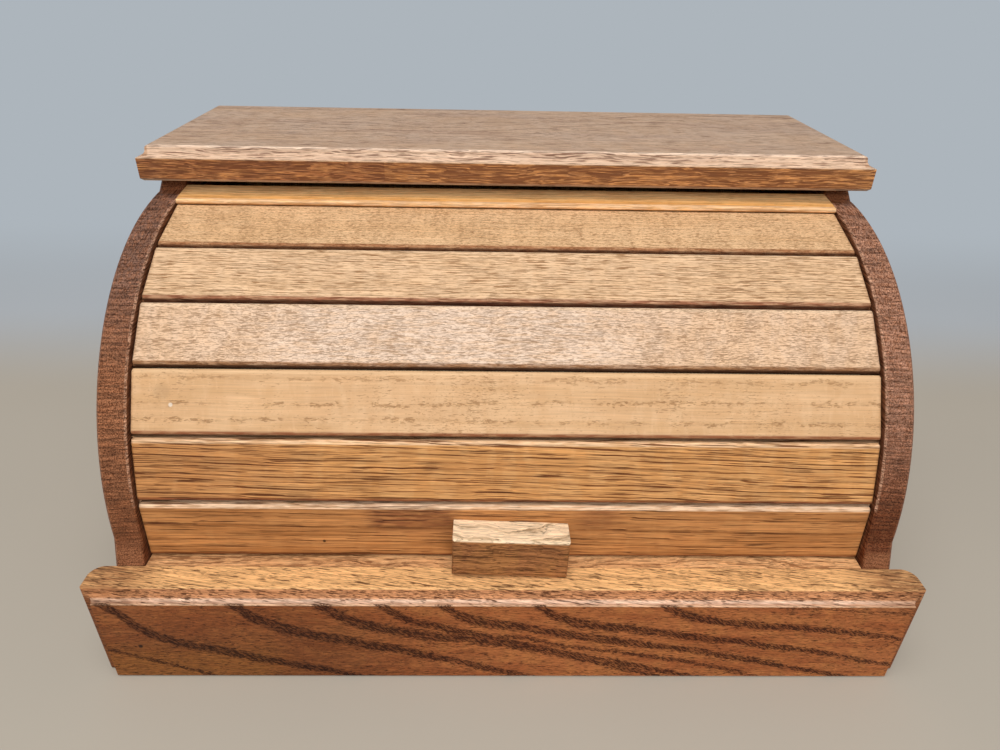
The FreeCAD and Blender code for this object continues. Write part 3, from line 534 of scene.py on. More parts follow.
                mask = self.add("Math", (mask, shown), operation="MULTIPLY")
            if whole is None:
                whole = mask
            else:
                whole = self.add("Math", (whole, mask), operation="MAXIMUM")
        on_face = self.add("MapRange", (parts.outputs[2], -1.6, -0.4), **SMOOTH)
        return self.add("Math", (whole, on_face), operation="MULTIPLY")

    def _pores(self, early: Wire, band: Optional[Wire], opened: list[tuple[Wire, float]]) -> bpy.types.Node:
        """Long open pores, crowded in the early wood; across the end of a board they are dots.

        Args:
            early: How open the early wood is.
            band: Lines of open pores, where the board has them.
            opened: Stretches of the board, and how much more its pores show there.

        Returns:
            Strength of the dark pores, from zero to one.
        """
        grain = self.grain
        spread = 0.10                     # how far the noise strays from its middle of one half
        edge = 0.5 + spread * NormalDist().inv_cdf(1.0 - grain.pore_cover)
        clumps = self.noise(grain.clump, grain.seed + 10.6, 1.0, self.flow)
        pull = self.add("Math", (clumps, grain.clump_pull, -0.5 * grain.clump_pull),
                        operation="MULTIPLY_ADD")
        crowd = self.add("Math", (early, grain.pore_crowd, pull), operation="MULTIPLY_ADD")
        for mask, more in opened:
            if more:
                crowd = self.add("Math", (mask, more, crowd), operation="MULTIPLY_ADD")
        layers: list[bpy.types.Node] = []
        for share, depth in ((1.0, grain.pore_depth), (0.42, grain.fine_depth)):
            size = (grain.pore_length * share, grain.pore_width * (0.5 + 0.5 * share),
                    grain.pore_width * (0.5 + 0.5 * share))
            cells = self.noise(size, grain.seed + 5.3 + share, 1.0, self.flow)
            level = self.add("Math", (cells, crowd), operation="ADD")
            layers.append(self.add("MapRange", (level, edge - 0.02, edge + 0.045, 0.0, depth), **SMOOTH))
        pores = self.add("Math", (layers[0], layers[1]), operation="MAXIMUM")
        if band is None:
            return pores
        # in a line of pores the marks are short and stand close together
        slant = self.add("Mapping", {
            "Vector": self.place, "Rotation": (0.0, 0.0, math.radians(grain.mark_lean))})
        marks = self.noise((2.6, 0.6, 0.6), grain.seed + 17.0, 1.0, slant)
        dotted = self.add("MapRange", (marks, 0.45, 0.53, 0.0, grain.mark_depth), **SMOOTH)
        dotted = self.add("Math", (dotted, band), operation="MULTIPLY")
        return self.add("Math", (pores, dotted), operation="MAXIMUM")

    def _stained(self) -> bpy.types.Node:
        """Mix the stain between the pores: clouds and drifts of lighter and darker colour.

        Returns:
            The colour.
        """
        grain, stain = self.grain, self.stain
        # clouds lie across the grain as the rays do, and shade runs with it
        clouds = self.noise((9.0, 18.0, 30.0), grain.seed + 6.1, 3.0, distortion=0.4)
        cloudy = self.add("MapRange", (clouds, 0.42, 0.62, 0.0, stain.bloom_amount), **SMOOTH)
        colour = self.add("Mix", (cloudy, linear(stain.late), linear(stain.bloom)), **COLOURS)
        drifts = self.noise((90.0, 7.0, 7.0), grain.seed + 7.9, 3.0, self.flow)
        shady = self.add("MapRange", (drifts, 0.46, 0.64, 0.0, stain.shade_amount), **SMOOTH)
        colour = self.add("Mix", (shady, colour, linear(stain.shade)), **COLOURS)
        return self._paint_flecks(colour) if grain.fleck else colour

    def _darken(self, colour: Wire, dark: str, amount: Wire) -> bpy.types.Node:
        """Darken a colour as the stain's late wood darkens to a given colour.

        Args:
            colour: The colour so far.
            dark: What the late wood turns to, as a hex value.
            amount: How far it turns, from zero to one.

        Returns:
            The darkened colour.
        """
        tint = tuple(min(1.2, low / high) for low, high in zip(linear(dark), linear(self.stain.late)))
        return self.add("Mix", (amount, colour, tint), **COLOURS, blend_type="MULTIPLY")

    def _darken_rings(self, colour: Wire, early: Wire, streak: Wire, band: Optional[Wire]) -> bpy.types.Node:
        """Tint the early wood of each ring and vary the light along fine streaks.

        Args:
            colour: The colour so far.
            early: How open the early wood is.
            streak: Fine streaks along the grain.
            band: Lines of open pores, where the board has them.

        Returns:
            The new colour.
        """
        grain, stain = self.grain, self.stain
        amount = self.add("Math", (early, grain.ring_contrast), operation="MULTIPLY")
        if band is not None:
            strong = self.add("Math", (band, grain.line_depth), operation="MULTIPLY")
            amount = self.add("Math", (amount, strong), operation="MAXIMUM")
        ringed = self._darken(colour, stain.early, amount)
        fine = self.add("MapRange", (streak, 0.36, 0.64, 1.0 - grain.streak, 1.0 + grain.streak),
                        clamp=False)
        return self.add("VectorMath", (ringed, fine), operation="SCALE")

    def _paint_flecks(self, colour: Wire) -> bpy.types.Node:
        """Add the short pale ray flecks that cross the grain of a quarter-sawn face.

        Args:
            colour: The colour so far.

        Returns:
            The new colour.
        """
        flecks = self.noise((2.2, 8.0, 20.0), self.grain.seed + 8.8, 1.0, distortion=0.6)
        shown = self.add("MapRange", (flecks, 0.56, 0.68, 0.0, self.grain.fleck), **SMOOTH)
        return self.add("Mix", (shown, colour, linear(self.stain.bloom)), **COLOURS)

    def _zone_mask(self, zone: Zone) -> bpy.types.Node:
        """Mark out a zone with soft edges.

        Args:
            zone: The zone.

        Returns:
            How far a place lies inside it, from zero to one.
        """
        if zone.space is Space.TRACK and self.polar is None:
            self.polar = self.track_place()
        place = self.polar if zone.space is Space.TRACK else self.place
        parts = self.add("SeparateXYZ", (place,))
        inside: Optional[bpy.types.Node] = None
        for axis, limits in enumerate((zone.along, zone.across, zone.out)):
            for limit, beyond in zip(limits, (1.0, 0.0)):
                if abs(limit) >= FAR:
                    continue
                step = self.add("MapRange", (parts.outputs[axis], limit - zone.soft, limit + zone.soft,
                                             1.0 - beyond, beyond), **SMOOTH)
                if inside is None:
                    inside = step
                else:
                    inside = self.add("Math", (inside, step), operation="MULTIPLY")
        if zone.rim:
            inside = self.add("Math", (inside, self._near_radius(zone.rim, 2.4)), operation="MULTIPLY")
        return inside

    def _near_radius(self, radius: float, reach: float) -> bpy.types.Node:
        """Mark out the curved front edge of a side panel.

        Args:
            radius: The edge's distance from the tambour's axis.
            reach: How far off the edge the mark has gone, in millimetres.

        Returns:
            One on the edge and zero away from it.
        """
        if self.polar is None:
            self.polar = self.track_place()
        parts = self.add("SeparateXYZ", (self.polar,))
        off = self.add("Math", (parts.outputs[2], radius), operation="SUBTRACT")
        off = self.add("Math", (off,), operation="ABSOLUTE")
        near = self.add("MapRange", (off, reach * 0.5, reach, 1.0, 0.0), **SMOOTH)
        # the rim runs from 18 degrees below the axis to 84 degrees above it
        ahead = self.add("Math", (parts.outputs[1], 33.0, 51.0), operation="COMPARE")
        return self.add("Math", (near, ahead), operation="MULTIPLY")

    def _paint_zone(self, colour: Wire, zone: Zone, inside: Wire) -> bpy.types.Node:
        """Colour one stretch of the piece, broken up in places.

        Args:
            colour: The colour so far.
            zone: The stretch.
            inside: How far a place lies inside it.

        Returns:
            The new colour.
        """
        rubbed = self.noise((9.0, 1.6, 1.6), self.grain.seed + zone.strength * 11 + zone.soft, 3.0)
        weakest = zone.strength * (1.0 - zone.broken)
        patchy = self.add("MapRange", (rubbed, 0.38, 0.58, weakest, zone.strength), **SMOOTH)
        factor = self.add("Math", (inside, patchy), operation="MULTIPLY")
        return self.add("Mix", (factor, colour, linear(zone.colour)), **COLOURS)

    def _paint_tooling(self, colour: Wire, strength: float) -> bpy.types.Node:
        """Add the fine marks that a saw and sander left across a curved edge.

        Args:
            colour: The colour so far.
            strength: How much lighter and darker the marks are.

        Returns:
            The new colour.
        """
        near = self._near_radius(TAMBOUR.rim_radius, 1.2)
        # 0.3 degrees round the track is 0.8 mm, as coarse as the marks need to be to show
        marks = self.noise((9.0, 0.3, 9.0), self.grain.seed + 2.2, 2.0, self.polar)
        light = self.add("MapRange", (marks, 0.36, 0.64, -strength, strength))
        light = self.add("Math", (light, near, 1.0), operation="MULTIPLY_ADD")
        return self.add("VectorMath", (colour, light), operation="SCALE")

    def _paint_spot(self, colour: Wire, spot: Spot) -> bpy.types.Node:
        """Colour one small round mark.

        Args:
            colour: The colour so far.
            spot: The mark.

        Returns:
            The new colour.
        """
        away = self.add("VectorMath", (self.place, spot.place), operation="DISTANCE")
        core, edge = 0.6 * spot.radius, 1.2 * spot.radius
        factor = self.add("MapRange", (away, core, edge, spot.strength, 0.0), **SMOOTH)
        return self.add("Mix", (factor, colour, linear(spot.colour)), **COLOURS)

    def _surface(self, colour: Wire, pores: Wire, streak: Wire, varnish: Varnish) -> None:
        """Set the shader: colour, gloss and the relief of the open pores.

        Args:
            colour: The finished colour.
            pores: Strength of the pores, which are dull and sunk.
            streak: Fine streaks, which stand a little proud.
            varnish: The coat.
        """
        rubbed = self.noise((60.0, 25.0, 25.0), self.grain.seed + 12.4, 2.0)
        gloss = self.add("MapRange", (rubbed, 0.35, 0.65, varnish.roughness - 0.06, varnish.roughness + 0.08))
        dull = self.add("Math", (pores, 0.25, gloss), operation="MULTIPLY_ADD", use_clamp=True)
        raised = self.add("Math", (streak, 0.5), operation="MULTIPLY")
        height = self.add("Math", (raised, pores), operation="SUBTRACT")
        bump = self.add("Bump", {"Strength": 1.0, "Distance": varnish.relief * MM, "Height": height})
        self.fill(self.shader, {"Base Color": colour, "Roughness": dull, "Normal": bump,
                                "IOR": varnish.ior, "Specular IOR Level": varnish.gloss})


class SteelFinish(Finish):
    """Plain wire nails and wood screws: mild steel, dulled by handling, with faint rust in places."""

    def __init__(self, name: str, lie: Lie) -> None:
        """Build the finish.

        Args:
            name: The material's name.
            lie: The axes that the grime follows.
        """
        super().__init__(name, lie)
        grime = self.noise((1.2, 1.2, 1.2), 4.0, 3.0)
        rust = self.add("MapRange", (grime, 0.45, 0.75), **SMOOTH)
        colour = self.add("Mix", (rust, linear("#a8a6a0"), linear("#6f5a48")), **COLOURS)
        rough = self.add("MapRange", (grime, 0.0, 1.0, 0.28, 0.62))
        bump = self.add("Bump", {"Strength": 0.6, "Distance": 0.05 * MM, "Height": grime})
        self.fill(self.shader, {"Base Color": colour, "Roughness": rough, "Normal": bump, "Metallic": 1.0})


class CanvasFinish(Finish):
    """Unbleached cotton duck: a plain weave of even threads, stiffened where glue soaked in."""

    def __init__(self, name: str, lie: Lie, thread: float = 0.9) -> None:
        """Build the finish.

        Args:
            name: The material's name.
            lie: The cloth's axes.
            thread: Spacing of the threads; real duck has about 0.5 mm, drawn coarser to show.
        """
        super().__init__(name, lie)
        polar = self.track_place()
        arc = math.radians(1.0) * TAMBOUR.back_radius
        turns = self.add("VectorMath", (polar, (math.pi / thread, math.pi * arc / thread, 0.0)),
                         operation="MULTIPLY")
        parts = self.add("SeparateXYZ", (turns,))
        waves = [self.add("Math", (parts.outputs[i],), operation="SINE") for i in (0, 1)]
        over = self.add("Math", (waves[0], waves[1]), operation="MULTIPLY")
        slubs = self.noise((18.0, 0.9, 18.0), 2.0, 3.0)
        stains = self.noise((22.0, 22.0, 22.0), 6.0, 3.0, distortion=0.5)
        weave = self.add("MapRange", (over, -1.0, 1.0))
        thread_colour = self.add("Mix", (weave, linear("#9c9078"), linear("#cfc4a8")), **COLOURS)
        soaked = self.add("MapRange", (stains, 0.5, 0.7, 0.0, 0.55), **SMOOTH)
        colour = self.add("Mix", (soaked, thread_colour, linear("#a58a5c")), **COLOURS)
        light = self.add("MapRange", (slubs, 0.0, 1.0, 0.8, 1.2))
        colour = self.add("VectorMath", (colour, light), operation="SCALE")
        bump = self.add("Bump", {"Strength": 0.8, "Distance": 0.2 * MM, "Height": weave})
        self.fill(self.shader, {"Base Color": colour, "Normal": bump, "Roughness": 0.92, "Sheen Weight": 0.2})


def put(name: str, data: bpy.types.ID) -> bpy.types.Object:
    """Put a new object into the scene.

    Args:
        name: The object's name.
        data: Its mesh, lamp or camera.

    Returns:
        The object.
    """
    thing = bpy.data.objects.new(name, data)
    bpy.context.scene.collection.objects.link(thing)
    return thing


def dress(node: str, finish: Finish) -> None:
    """Give a CAD node one finish all over and report it.

    Args:
        node: The node's name.
        finish: Its finish.
    """
    mesh = frame["nodes"][node].data
    mesh.materials.clear()
    mesh.materials.append(finish.material)
    log.info("%s: %s", node, finish.material.name)


# ---------------------------------------------------------------- cabinet


@dataclass
class Cabinet:
    """Side panels, top board, header, floor, back and the frame under the drawer."""

    inner_x: float = 189.0
    rim_radius: float = TAMBOUR.rim_radius
    top_mould: float = 6.0
    header_lean: float = 8.3
    header_thick: float = 3.0
    veneer: float = 5.0 / 3
    top_figure: tuple[Band, ...] = (
        Band(((-75, 83), (-66, 76), (-48, 72.4), (-31, 78), (-23, 86)), (2.0, 2.0), 0.9),
        Band(((-75, 84.6), (-68, 93), (-50, 99.5), (-31, 97.5), (-23, 90.5)), (2.0, 2.0), 0.9),
        Band(((-149, 75), (-106, 69), (-74, 64.8), (-43, 64.3), (-11, 70.6), (22, 83.7), (56, 98.3),
              (93, 112)), (2.2, 2.2), 0.9),
        Band(((-131, 80.7), (-101, 91.7), (-72, 102.8), (-45, 108.8), (-11, 108.2), (19, 100.3), (39, 97)),
             (2.2, 2.2), 0.7),
        Band(((-212, 66), (-176, 70.4), (-137, 63.6), (-89, 56.1), (-42, 53.1), (5, 62), (47, 75.4),
              (75, 85.6), (103, 92), (121, 83.7), (152, 76), (215, 73)), (2.0, 2.6), 0.9),
        Band(((-212, 54.8), (-150, 54.2), (-87, 48.2), (-11, 49), (52, 64.2), (100, 77.2), (133, 69),
              (215, 65)), (1.8, 2.0), 0.7),
        Band(((77, 98.3), (115, 115.7), (150, 116.9), (210, 112)), (3.0, 3.0), 1.0),
        Band(((-173, 81.2), (-141, 79.9), (-101, 76.7), (-81, 72)), (3.0, 3.6), 0.9),
        Band(((-212, 116.7), (-150, 117.7), (-60, 122.2), (0, 124)), (4.0, 2.0), 0.8),
        Band(((-212, 40.4), (-131, 42.6), (-41, 38.3), (51, 53), (115, 61.6), (212, 53.6)), (1.6, 1.6),
             0.5),
        Band(((-212, 26.9), (-99, 29.9), (19, 33.2), (212, 36.3)), (1.4, 1.4), 0.4),
    )

    def dress_sides(self) -> None:
        """Red oak stained to a dark walnut, quarter-sawn, its grain running front to back.

        The curved rim is cut across the grain, so it shows the pores as fine dots and dashes and
        has drunk more stain. Hands have rubbed its arrises pale, and the inner face beside the slats has
        painted shade.
        """
        stain = Stain(late="#9a6545", early="#774a2f", pore="#542a13", bloom="#ae7c5c", shade="#835236",
                      bloom_amount=0.2, shade_amount=0.35)
        for name, side in (("side_panel_left", -1), ("side_panel_right", 1)):
            box = Box.of(name)
            outer = box.low.x if side < 0 else box.high.x
            lie = Lie(Vector((outer, box.middle.y, box.middle.z)), Vector((0, side, 0)), Vector((side, 0, 0)))
            inner = side * self.inner_x
            rim = self.rim_radius
            left = side < 0
            zones = (
                Zone("#653218", across=(-FAR, 14.0 if left else 24.0), soft=16.0,
                     strength=0.3 if left else 0.85, broken=0.3, space=Space.TRACK, rim=rim),
                Zone("#725e58" if left else "#b98f7b", across=(46.0 if left else 20.0, FAR),
                     soft=14.0, strength=0.6, broken=0.5, space=Space.TRACK, rim=rim),
                # painted shade on the inner face, in the gap beside the slats
                Zone("#4a2315", along=span(inner, inner - side), out=(-FAR, rim - 1.0),
                     soft=0.3, strength=0.75, broken=0.2, space=Space.TRACK),
                Zone("#d3a98f", along=span(inner - 0.3 * side, inner + 0.9 * side), across=(10.0, FAR),
                     out=(rim - 1.2, FAR), soft=0.35, strength=0.75, broken=0.75, space=Space.TRACK, rim=rim),
                Zone("#b98468", along=span(outer + 0.3 * side, outer - 1.8 * side), out=(rim - 2.0, FAR),
                     soft=0.5, strength=0.45, broken=0.8, space=Space.TRACK, rim=rim),
            )
            grain = Grain(ring=2.2, pith_across=-400.0, pith_behind=40.0, wander=1.2, early_share=0.5,
                          pore_width=0.55, pore_length=14.0, pore_cover=0.24, pore_crowd=0.08,
                          pore_depth=0.85, fine_depth=0.4, ring_contrast=0.35, streak=0.28, clump_pull=0.1,
                          seed=21.0 + side)
            pinhole = Spot("#1d0b06", (106.0 * side + box.middle.y * side, 97.0 - box.middle.z, -8.0), 2.4)
            dress(name, WoodFinish("walnut_stained_oak_" + name, lie, grain, stain, Varnish(0.52, 0.2, 0.2),
                                   zones, (pinhole,) if left else (), tooled=0.34))

    def dress_top(self) -> None:
        """Flat-sawn oak in a mid-brown stain: a cathedral figure, a moulding rubbed to bare wood with a
        painted highlight on its bead, and a partly painted reflection on top.
        """
        box = Box.of("top_board")
        lie = Lie(Vector((box.middle.x, box.low.y, box.high.z)), RIGHT, UP)
        half = (box.high.x - box.low.x) / 2
        thick = box.high.z - box.low.z
        mould = self.top_mould
        bottom = 1.4 - thick
        zones = [Zone("#cc8c50", across=(-FAR, 0.6), out=(bottom, -mould - 0.2), soft=0.25, strength=0.97,
                      broken=0.1, openness=0.15),
                 Zone("#8a4a2c", along=(-FAR, -70.0), across=(-FAR, 0.6), out=(bottom, -mould - 0.2),
                      soft=0.25, strength=0.5, broken=0.7),
                 Zone("#a58a78", across=(-FAR, 2.0), out=(-FAR, bottom), soft=0.4, strength=0.7,
                      broken=0.4),
                 Zone("#ebccb2", across=(-FAR, mould - 0.2), out=(-mould - 0.1, FAR), soft=0.3, strength=0.9,
                      broken=0.25, openness=0.04),
                 Zone("#b98f70", across=(1.6, 3.6), out=(-mould + 1.2, FAR), soft=0.7, strength=0.7,
                      broken=0.9),
                 Zone("#f8e0ca", across=(mould - 1.5, mould + 0.2), out=(-0.9, FAR), soft=0.3, strength=0.8,
                      broken=0.5),
                 # painted highlight along the bead, where light catches it
                 Zone("#efcda8", across=(-FAR, 0.9), out=(-mould - 0.4, -mould + 0.5), soft=0.25,
                      strength=0.75, broken=0.5)]
        for side in (-1, 1):
            zones.append(Zone("#b98b68", along=span(side * (half - mould + 0.4), side * FAR),
                              across=(2.0, FAR), out=(-mould, FAR), strength=0.7, broken=0.6))
        # the top's greyish pink is partly a painted reflection of the pale room in the varnish
        stain = Stain(late="#caa98c", early="#96715b", pore="#5f3a26", bloom="#d6bba3", shade="#b3917b",
                      bloom_amount=0.35, shade_amount=0.4)
        grain = Grain(ring=3.4, pith_across=-300.0, pith_behind=30.0, wander=3.0, wander_length=190.0,
                      early_share=0.5, pore_width=0.55, pore_length=14.0, pore_cover=0.08, pore_crowd=0.05,
                      pore_depth=0.8, fine_depth=0.4, ring_contrast=0.3, streak=0.14, clump_pull=0.15,
                      mark_depth=0.2, line_depth=0.45, seed=31.0)
        dress("top_board", WoodFinish("brown_stained_oak_top", lie, grain, stain, Varnish(0.46, 0.14, 0.35),
                                      tuple(zones), (), self.top_figure))

    def dress_header(self) -> None:
        """A thin orange-brown oak rail whose rounded nose is rubbed pale, with painted light against the top
        board's shade and painted shade under the nose.
        """
        box = Box.of("header_rail")
        lean = math.radians(self.header_lean)
        nose = Vector((0, box.low.y, box.low.z + self.header_thick))
        lie = Lie(nose, RIGHT, Vector((0, -math.sin(lean), math.cos(lean))))
        # painted light: the stain is lightened to offset the shade under the top board
        stain = Stain(late="#f8ba6e", early="#d3924e", pore="#a96a30", bloom="#fcc983", shade="#e3a25c")
        zones = (Zone("#fbd6ad", across=(-FAR, 2.6), out=(-2.4, FAR), soft=0.6, strength=0.8, broken=0.45),
                 # painted shade under the rounded nose
                 Zone("#a9713f", across=(-FAR, 1.6), out=(-FAR, -2.2), soft=0.4, strength=0.8, broken=0.4),
                 # painted light: the back of the rail, deepest in the top board's shade, lightened further
                 Zone("#ffe2ac", across=(8.0, FAR), soft=5.0, strength=0.9, broken=0.3))
        grain = Grain(ring=2.6, pith_across=-170.0, pith_behind=50.0, wander=1.2, pore_cover=0.14,
                      pore_length=16.0, pore_depth=0.5, ring_contrast=0.7, streak=0.16, seed=41.0)
        dress("header_rail", WoodFinish("golden_oak_header", lie, grain, stain, Varnish(0.5, 0.14), zones))

    def dress_floor(self) -> None:
        """Golden oak, browner along the left of the strip in front of the tambour."""
        box = Box.of("floor_board")
        lie = Lie(Vector((0, box.low.y, box.high.z)), RIGHT, UP)
        stain = Stain(late="#f0b983", early="#c28a56", pore="#7c4a26", bloom="#f7c893", shade="#d09866")
        zones = (Zone("#9c6238", along=(-FAR, -20.0), across=(-FAR, 9.0), soft=20.0, strength=0.4,
                      broken=0.8),)
        grain = Grain(ring=3.0, pith_across=-60.0, pith_behind=70.0, lean=1.5, wander=2.4, pore_cover=0.2,
                      seed=47.0)
        dress("floor_board", WoodFinish("golden_oak_floor", lie, grain, stain, Varnish(0.5, 0.16), zones))

    def dress_back(self) -> None:
        """Three-ply with a plain sanded face, left bare."""
        box = Box.of("back_panel")
        lie = Lie(Vector((0, box.high.y, box.middle.z)), UP, BACK)
        grain = Grain(ring=11.0, pith_across=20.0, pith_behind=14.0, wander=4.0, wander_length=220.0,
                      pore_width=0.5, pore_length=7.0, pore_cover=0.2, pore_depth=0.35, ring_contrast=0.45,
                      streak=0.07, seed=53.0)
        zones = (Zone("#a98a66", along=(-FAR, -box.middle.z + 14.0), soft=9.0, strength=0.35, broken=0.8),)
        dress("back_panel", WoodFinish("bare_plywood_back", lie, grain, BARE_PLYWOOD, Varnish(0.72, 0.1, 0.2),
                                       zones, ply=self.veneer))

    def dress_frame(self) -> None:
        """Bare planed poplar for the rails and runners."""
        stain = Stain(late="#c9ab7d", early="#b3915f", pore="#8d6c42", bloom="#d8c097", shade="#a58a5c")
        grain = Grain(ring=3.4, pith_across=30.0, pith_behind=40.0, pore_cover=0.22, pore_depth=0.4,
                      pore_length=5.0, ring_contrast=0.5, streak=0.06)
        ways = {"drawer_rail_front": RIGHT, "drawer_rail_back": RIGHT, "drawer_runner_left": BACK,
                "drawer_runner_right": BACK}
        for seed, (name, along) in enumerate(ways.items()):
            lie = Lie(Box.of(name).middle, along, UP)
            dress(name, WoodFinish("bare_planed_" + name, lie, replace(grain, seed=60.0 + seed), stain,
                                   BARE_WOOD))

    def dress_dowels(self) -> None:
        """Plain beech dowels, standing upright."""
        lie = Lie(Box.of("top_dowels").middle, UP, FRONT)
        stain = Stain(late="#d8b98d", early="#c7a273", pore="#9a7448", bloom="#e2c9a2", shade="#bd9768")
        grain = Grain(ring=1.4, pore_cover=0.3, pore_length=2.0, pore_depth=0.5, streak=0.05, seed=71.0)
        dress("top_dowels", WoodFinish("bare_beech_dowels", lie, grain, stain, Varnish(0.7, 0.05, 0.2)))

    def make(self) -> None:
        """Dress every piece of the cabinet."""
        self.dress_sides()
        self.dress_top()
        self.dress_header()
        self.dress_floor()
        self.dress_back()
        self.dress_frame()
        self.dress_dowels()


# ---------------------------------------------------------------- tambour


@dataclass(frozen=True)
class SlatLook:
    """What sets one slat apart from its neighbours."""

    grain: Grain
    stain: Stain
    # colours of the painted highlight along the upper edge and the painted shade along the lower one
    top_edge_highlight: str
    low_edge_shade: str
    rows: tuple[Band, ...] = ()
    # stretches of other tone; on the palest slat a painted sheen
    tone_and_sheen: tuple[Zone, ...] = ()
    spots: tuple[Spot, ...] = ()


@dataclass
class Tambour:
    """Slats, handle and the canvas that joins them."""

    plan: TambourPlan = TAMBOUR
    slat_half: float = 188.2
    canvas_half: float = 181.0
    canvas_thick: float = 0.7
    columns: int = 120                # of the canvas's mesh, so one every 3 mm
    steps_per_slat: int = 12
    canvas_hem: float = 7.0
    hem_thick: float = 0.45           # what the turned-in hem adds
    canvas_crease: float = 0.25       # how far it stands off at a joint between slats
    joint_reach: float = 1.2
    glue: float = 0.05
    handle_tilt: float = 2.0
    handle_half: float = 7.85         # half of how far it stands out
    pore_rows: tuple[Band, ...] = (
        Band(((-200, 12.6), (-60, 12.0), (200, 12.8)), (1.4, 1.4), 0.45, 0.9),
        Band(((-200, 0.8), (-110, -1.2), (20, 0.8), (200, 1.6)), (1.5, 1.5), 0.6, 0.8),
        Band(((-200, -9.4), (-80, -8.2), (60, -9.0), (200, -8.0)), (1.5, 1.5), 0.6, 0.8),
    )
    looks: tuple[SlatLook, ...] = (
        # from the lowest up: orange-brown, few long dark lines
        SlatLook(Grain(ring=5.2, pith_across=-190, pith_behind=30, lean=0.6, wander=0.8, early_share=0.3,
                       pore_cover=0.05, pore_crowd=0.14, pore_length=34.0, pore_width=0.6, pore_depth=0.9,
                       fine_depth=0.5, clump_pull=0.2, ring_contrast=0.8, streak=0.24, seed=1.3),
                 Stain("#bf844f", "#875022", "#54290f", "#cd965e", "#965f30", 0.3, 0.5),
                 "#f8d8b8", "#7d4523",
                 tone_and_sheen=(Zone("#7c452a", (-72, -27), (1, FAR), soft=6.0, strength=0.75, broken=0.5),
                       Zone("#7c452a", (38, 56), (3, FAR), soft=7.0, strength=0.6, broken=0.5)),
                 spots=(Spot("#241007", (-96.0, -6.5, 0.0), 0.9),)),
        # golden, with strong broken streaks
        SlatLook(Grain(ring=3.1, pith_across=-240, pith_behind=55, lean=1.4, wander=0.9, wander_length=140,
                       early_share=0.4, pore_cover=0.09, pore_crowd=0.20, pore_length=30.0, pore_width=0.7,
                       pore_depth=0.95, fine_depth=0.5, clump_pull=0.2, ring_contrast=0.6, streak=0.24,
                       seed=2.7),
                 Stain("#cd955b", "#9b6330", "#6a3a18", "#dcab74", "#ad733f", 0.4, 0.35),
                 "#f4cfa8", "#85482a",
                 tone_and_sheen=(Zone("#ad7344", (-FAR, -110), soft=50.0, strength=0.6, broken=0.3),)),
        # smooth yellow tan, with three broken rows of pores
        SlatLook(Grain(ring=9.6, pith_across=-160, pith_behind=8, wander=0.8, wander_length=150,
                       early_share=0.12, pore_length=4.0, pore_width=0.5, pore_cover=0.02, pore_crowd=0.0,
                       pore_depth=0.5, fine_depth=0.45, clump=(22.0, 40.0, 40.0), clump_pull=0.3,
                       ring_contrast=0.3, streak=0.07, fleck=0.25, seed=3.9),
                 Stain("#d6ad82", "#ba9163", "#7a4e27", "#e1bc93", "#c69b6b", 0.45, 0.35),
                 "#e6c196", "#8b4f30", rows=pore_rows,
                 spots=(Spot("#a88864", (-173.0, 5.0, 0.0), 4.5, 0.3),
                        Spot("#efe6da", (-168.5, -1.5, 0.0), 1.1, 0.7))),
        # palest, with dashes all over and a painted sheen in its middle
        SlatLook(Grain(ring=1.7, pith_across=5, pith_behind=160, wander=1.2, wander_length=60,
                       early_share=0.8, pore_length=4.5, pore_width=0.48, pore_cover=0.20, pore_crowd=0.03,
                       pore_depth=0.7, fine_depth=0.45, clump=(16.0, 9.0, 9.0), clump_pull=0.1,
                       ring_contrast=0.15, streak=0.09, fleck=0.1, seed=4.2),
                 Stain("#e7c3a1", "#d0aa85", "#8f6b4c", "#ecd4c0", "#d8b28c", 0.25, 0.3),
                 "#f0d3b3", "#9a6a42",
                 # painted sheen where the light from above and in front reflects
                 tone_and_sheen=(Zone("#f0dccd", (-125, 60), soft=45.0, strength=0.6, broken=0.6),)),
        # pale pinkish tan, with close fine dashes
        SlatLook(Grain(ring=1.5, pith_across=-220, pith_behind=30, lean=0.4, wander=0.7, wander_length=110,
                       early_share=0.5, pore_length=10.0, pore_width=0.45, pore_cover=0.15, pore_crowd=0.10,
                       pore_depth=0.85, fine_depth=0.45, clump_pull=0.12, ring_contrast=0.35, streak=0.12,
                       seed=5.8),
                 Stain("#e8c39c", "#d2ab83", "#90643b", "#efd0ae", "#d7af83", 0.25, 0.3),
                 "#efcfab", "#96583a"),
        # tan, with very short scattered pores in patches
        SlatLook(Grain(ring=1.9, pith_across=-140, pith_behind=90, wander=1.0, wander_length=70,
                       early_share=0.6, pore_length=3.0, pore_width=0.48, pore_cover=0.17, pore_crowd=0.04,
                       pore_depth=0.7, fine_depth=0.5, clump=(9.0, 20.0, 20.0), clump_pull=0.18,
                       ring_contrast=0.25, streak=0.10, seed=6.6),
                 Stain("#eac296", "#d5a877", "#94683e", "#f1cda3", "#d9ac7a", 0.25, 0.3),
                 "#eec999", "#9c6238"),
    )

    @property
    def first_edge(self) -> float:
        """Angle of the lowest slat's lower edge."""
        return self.plan.first_angle - self.plan.slat_pitch / 2

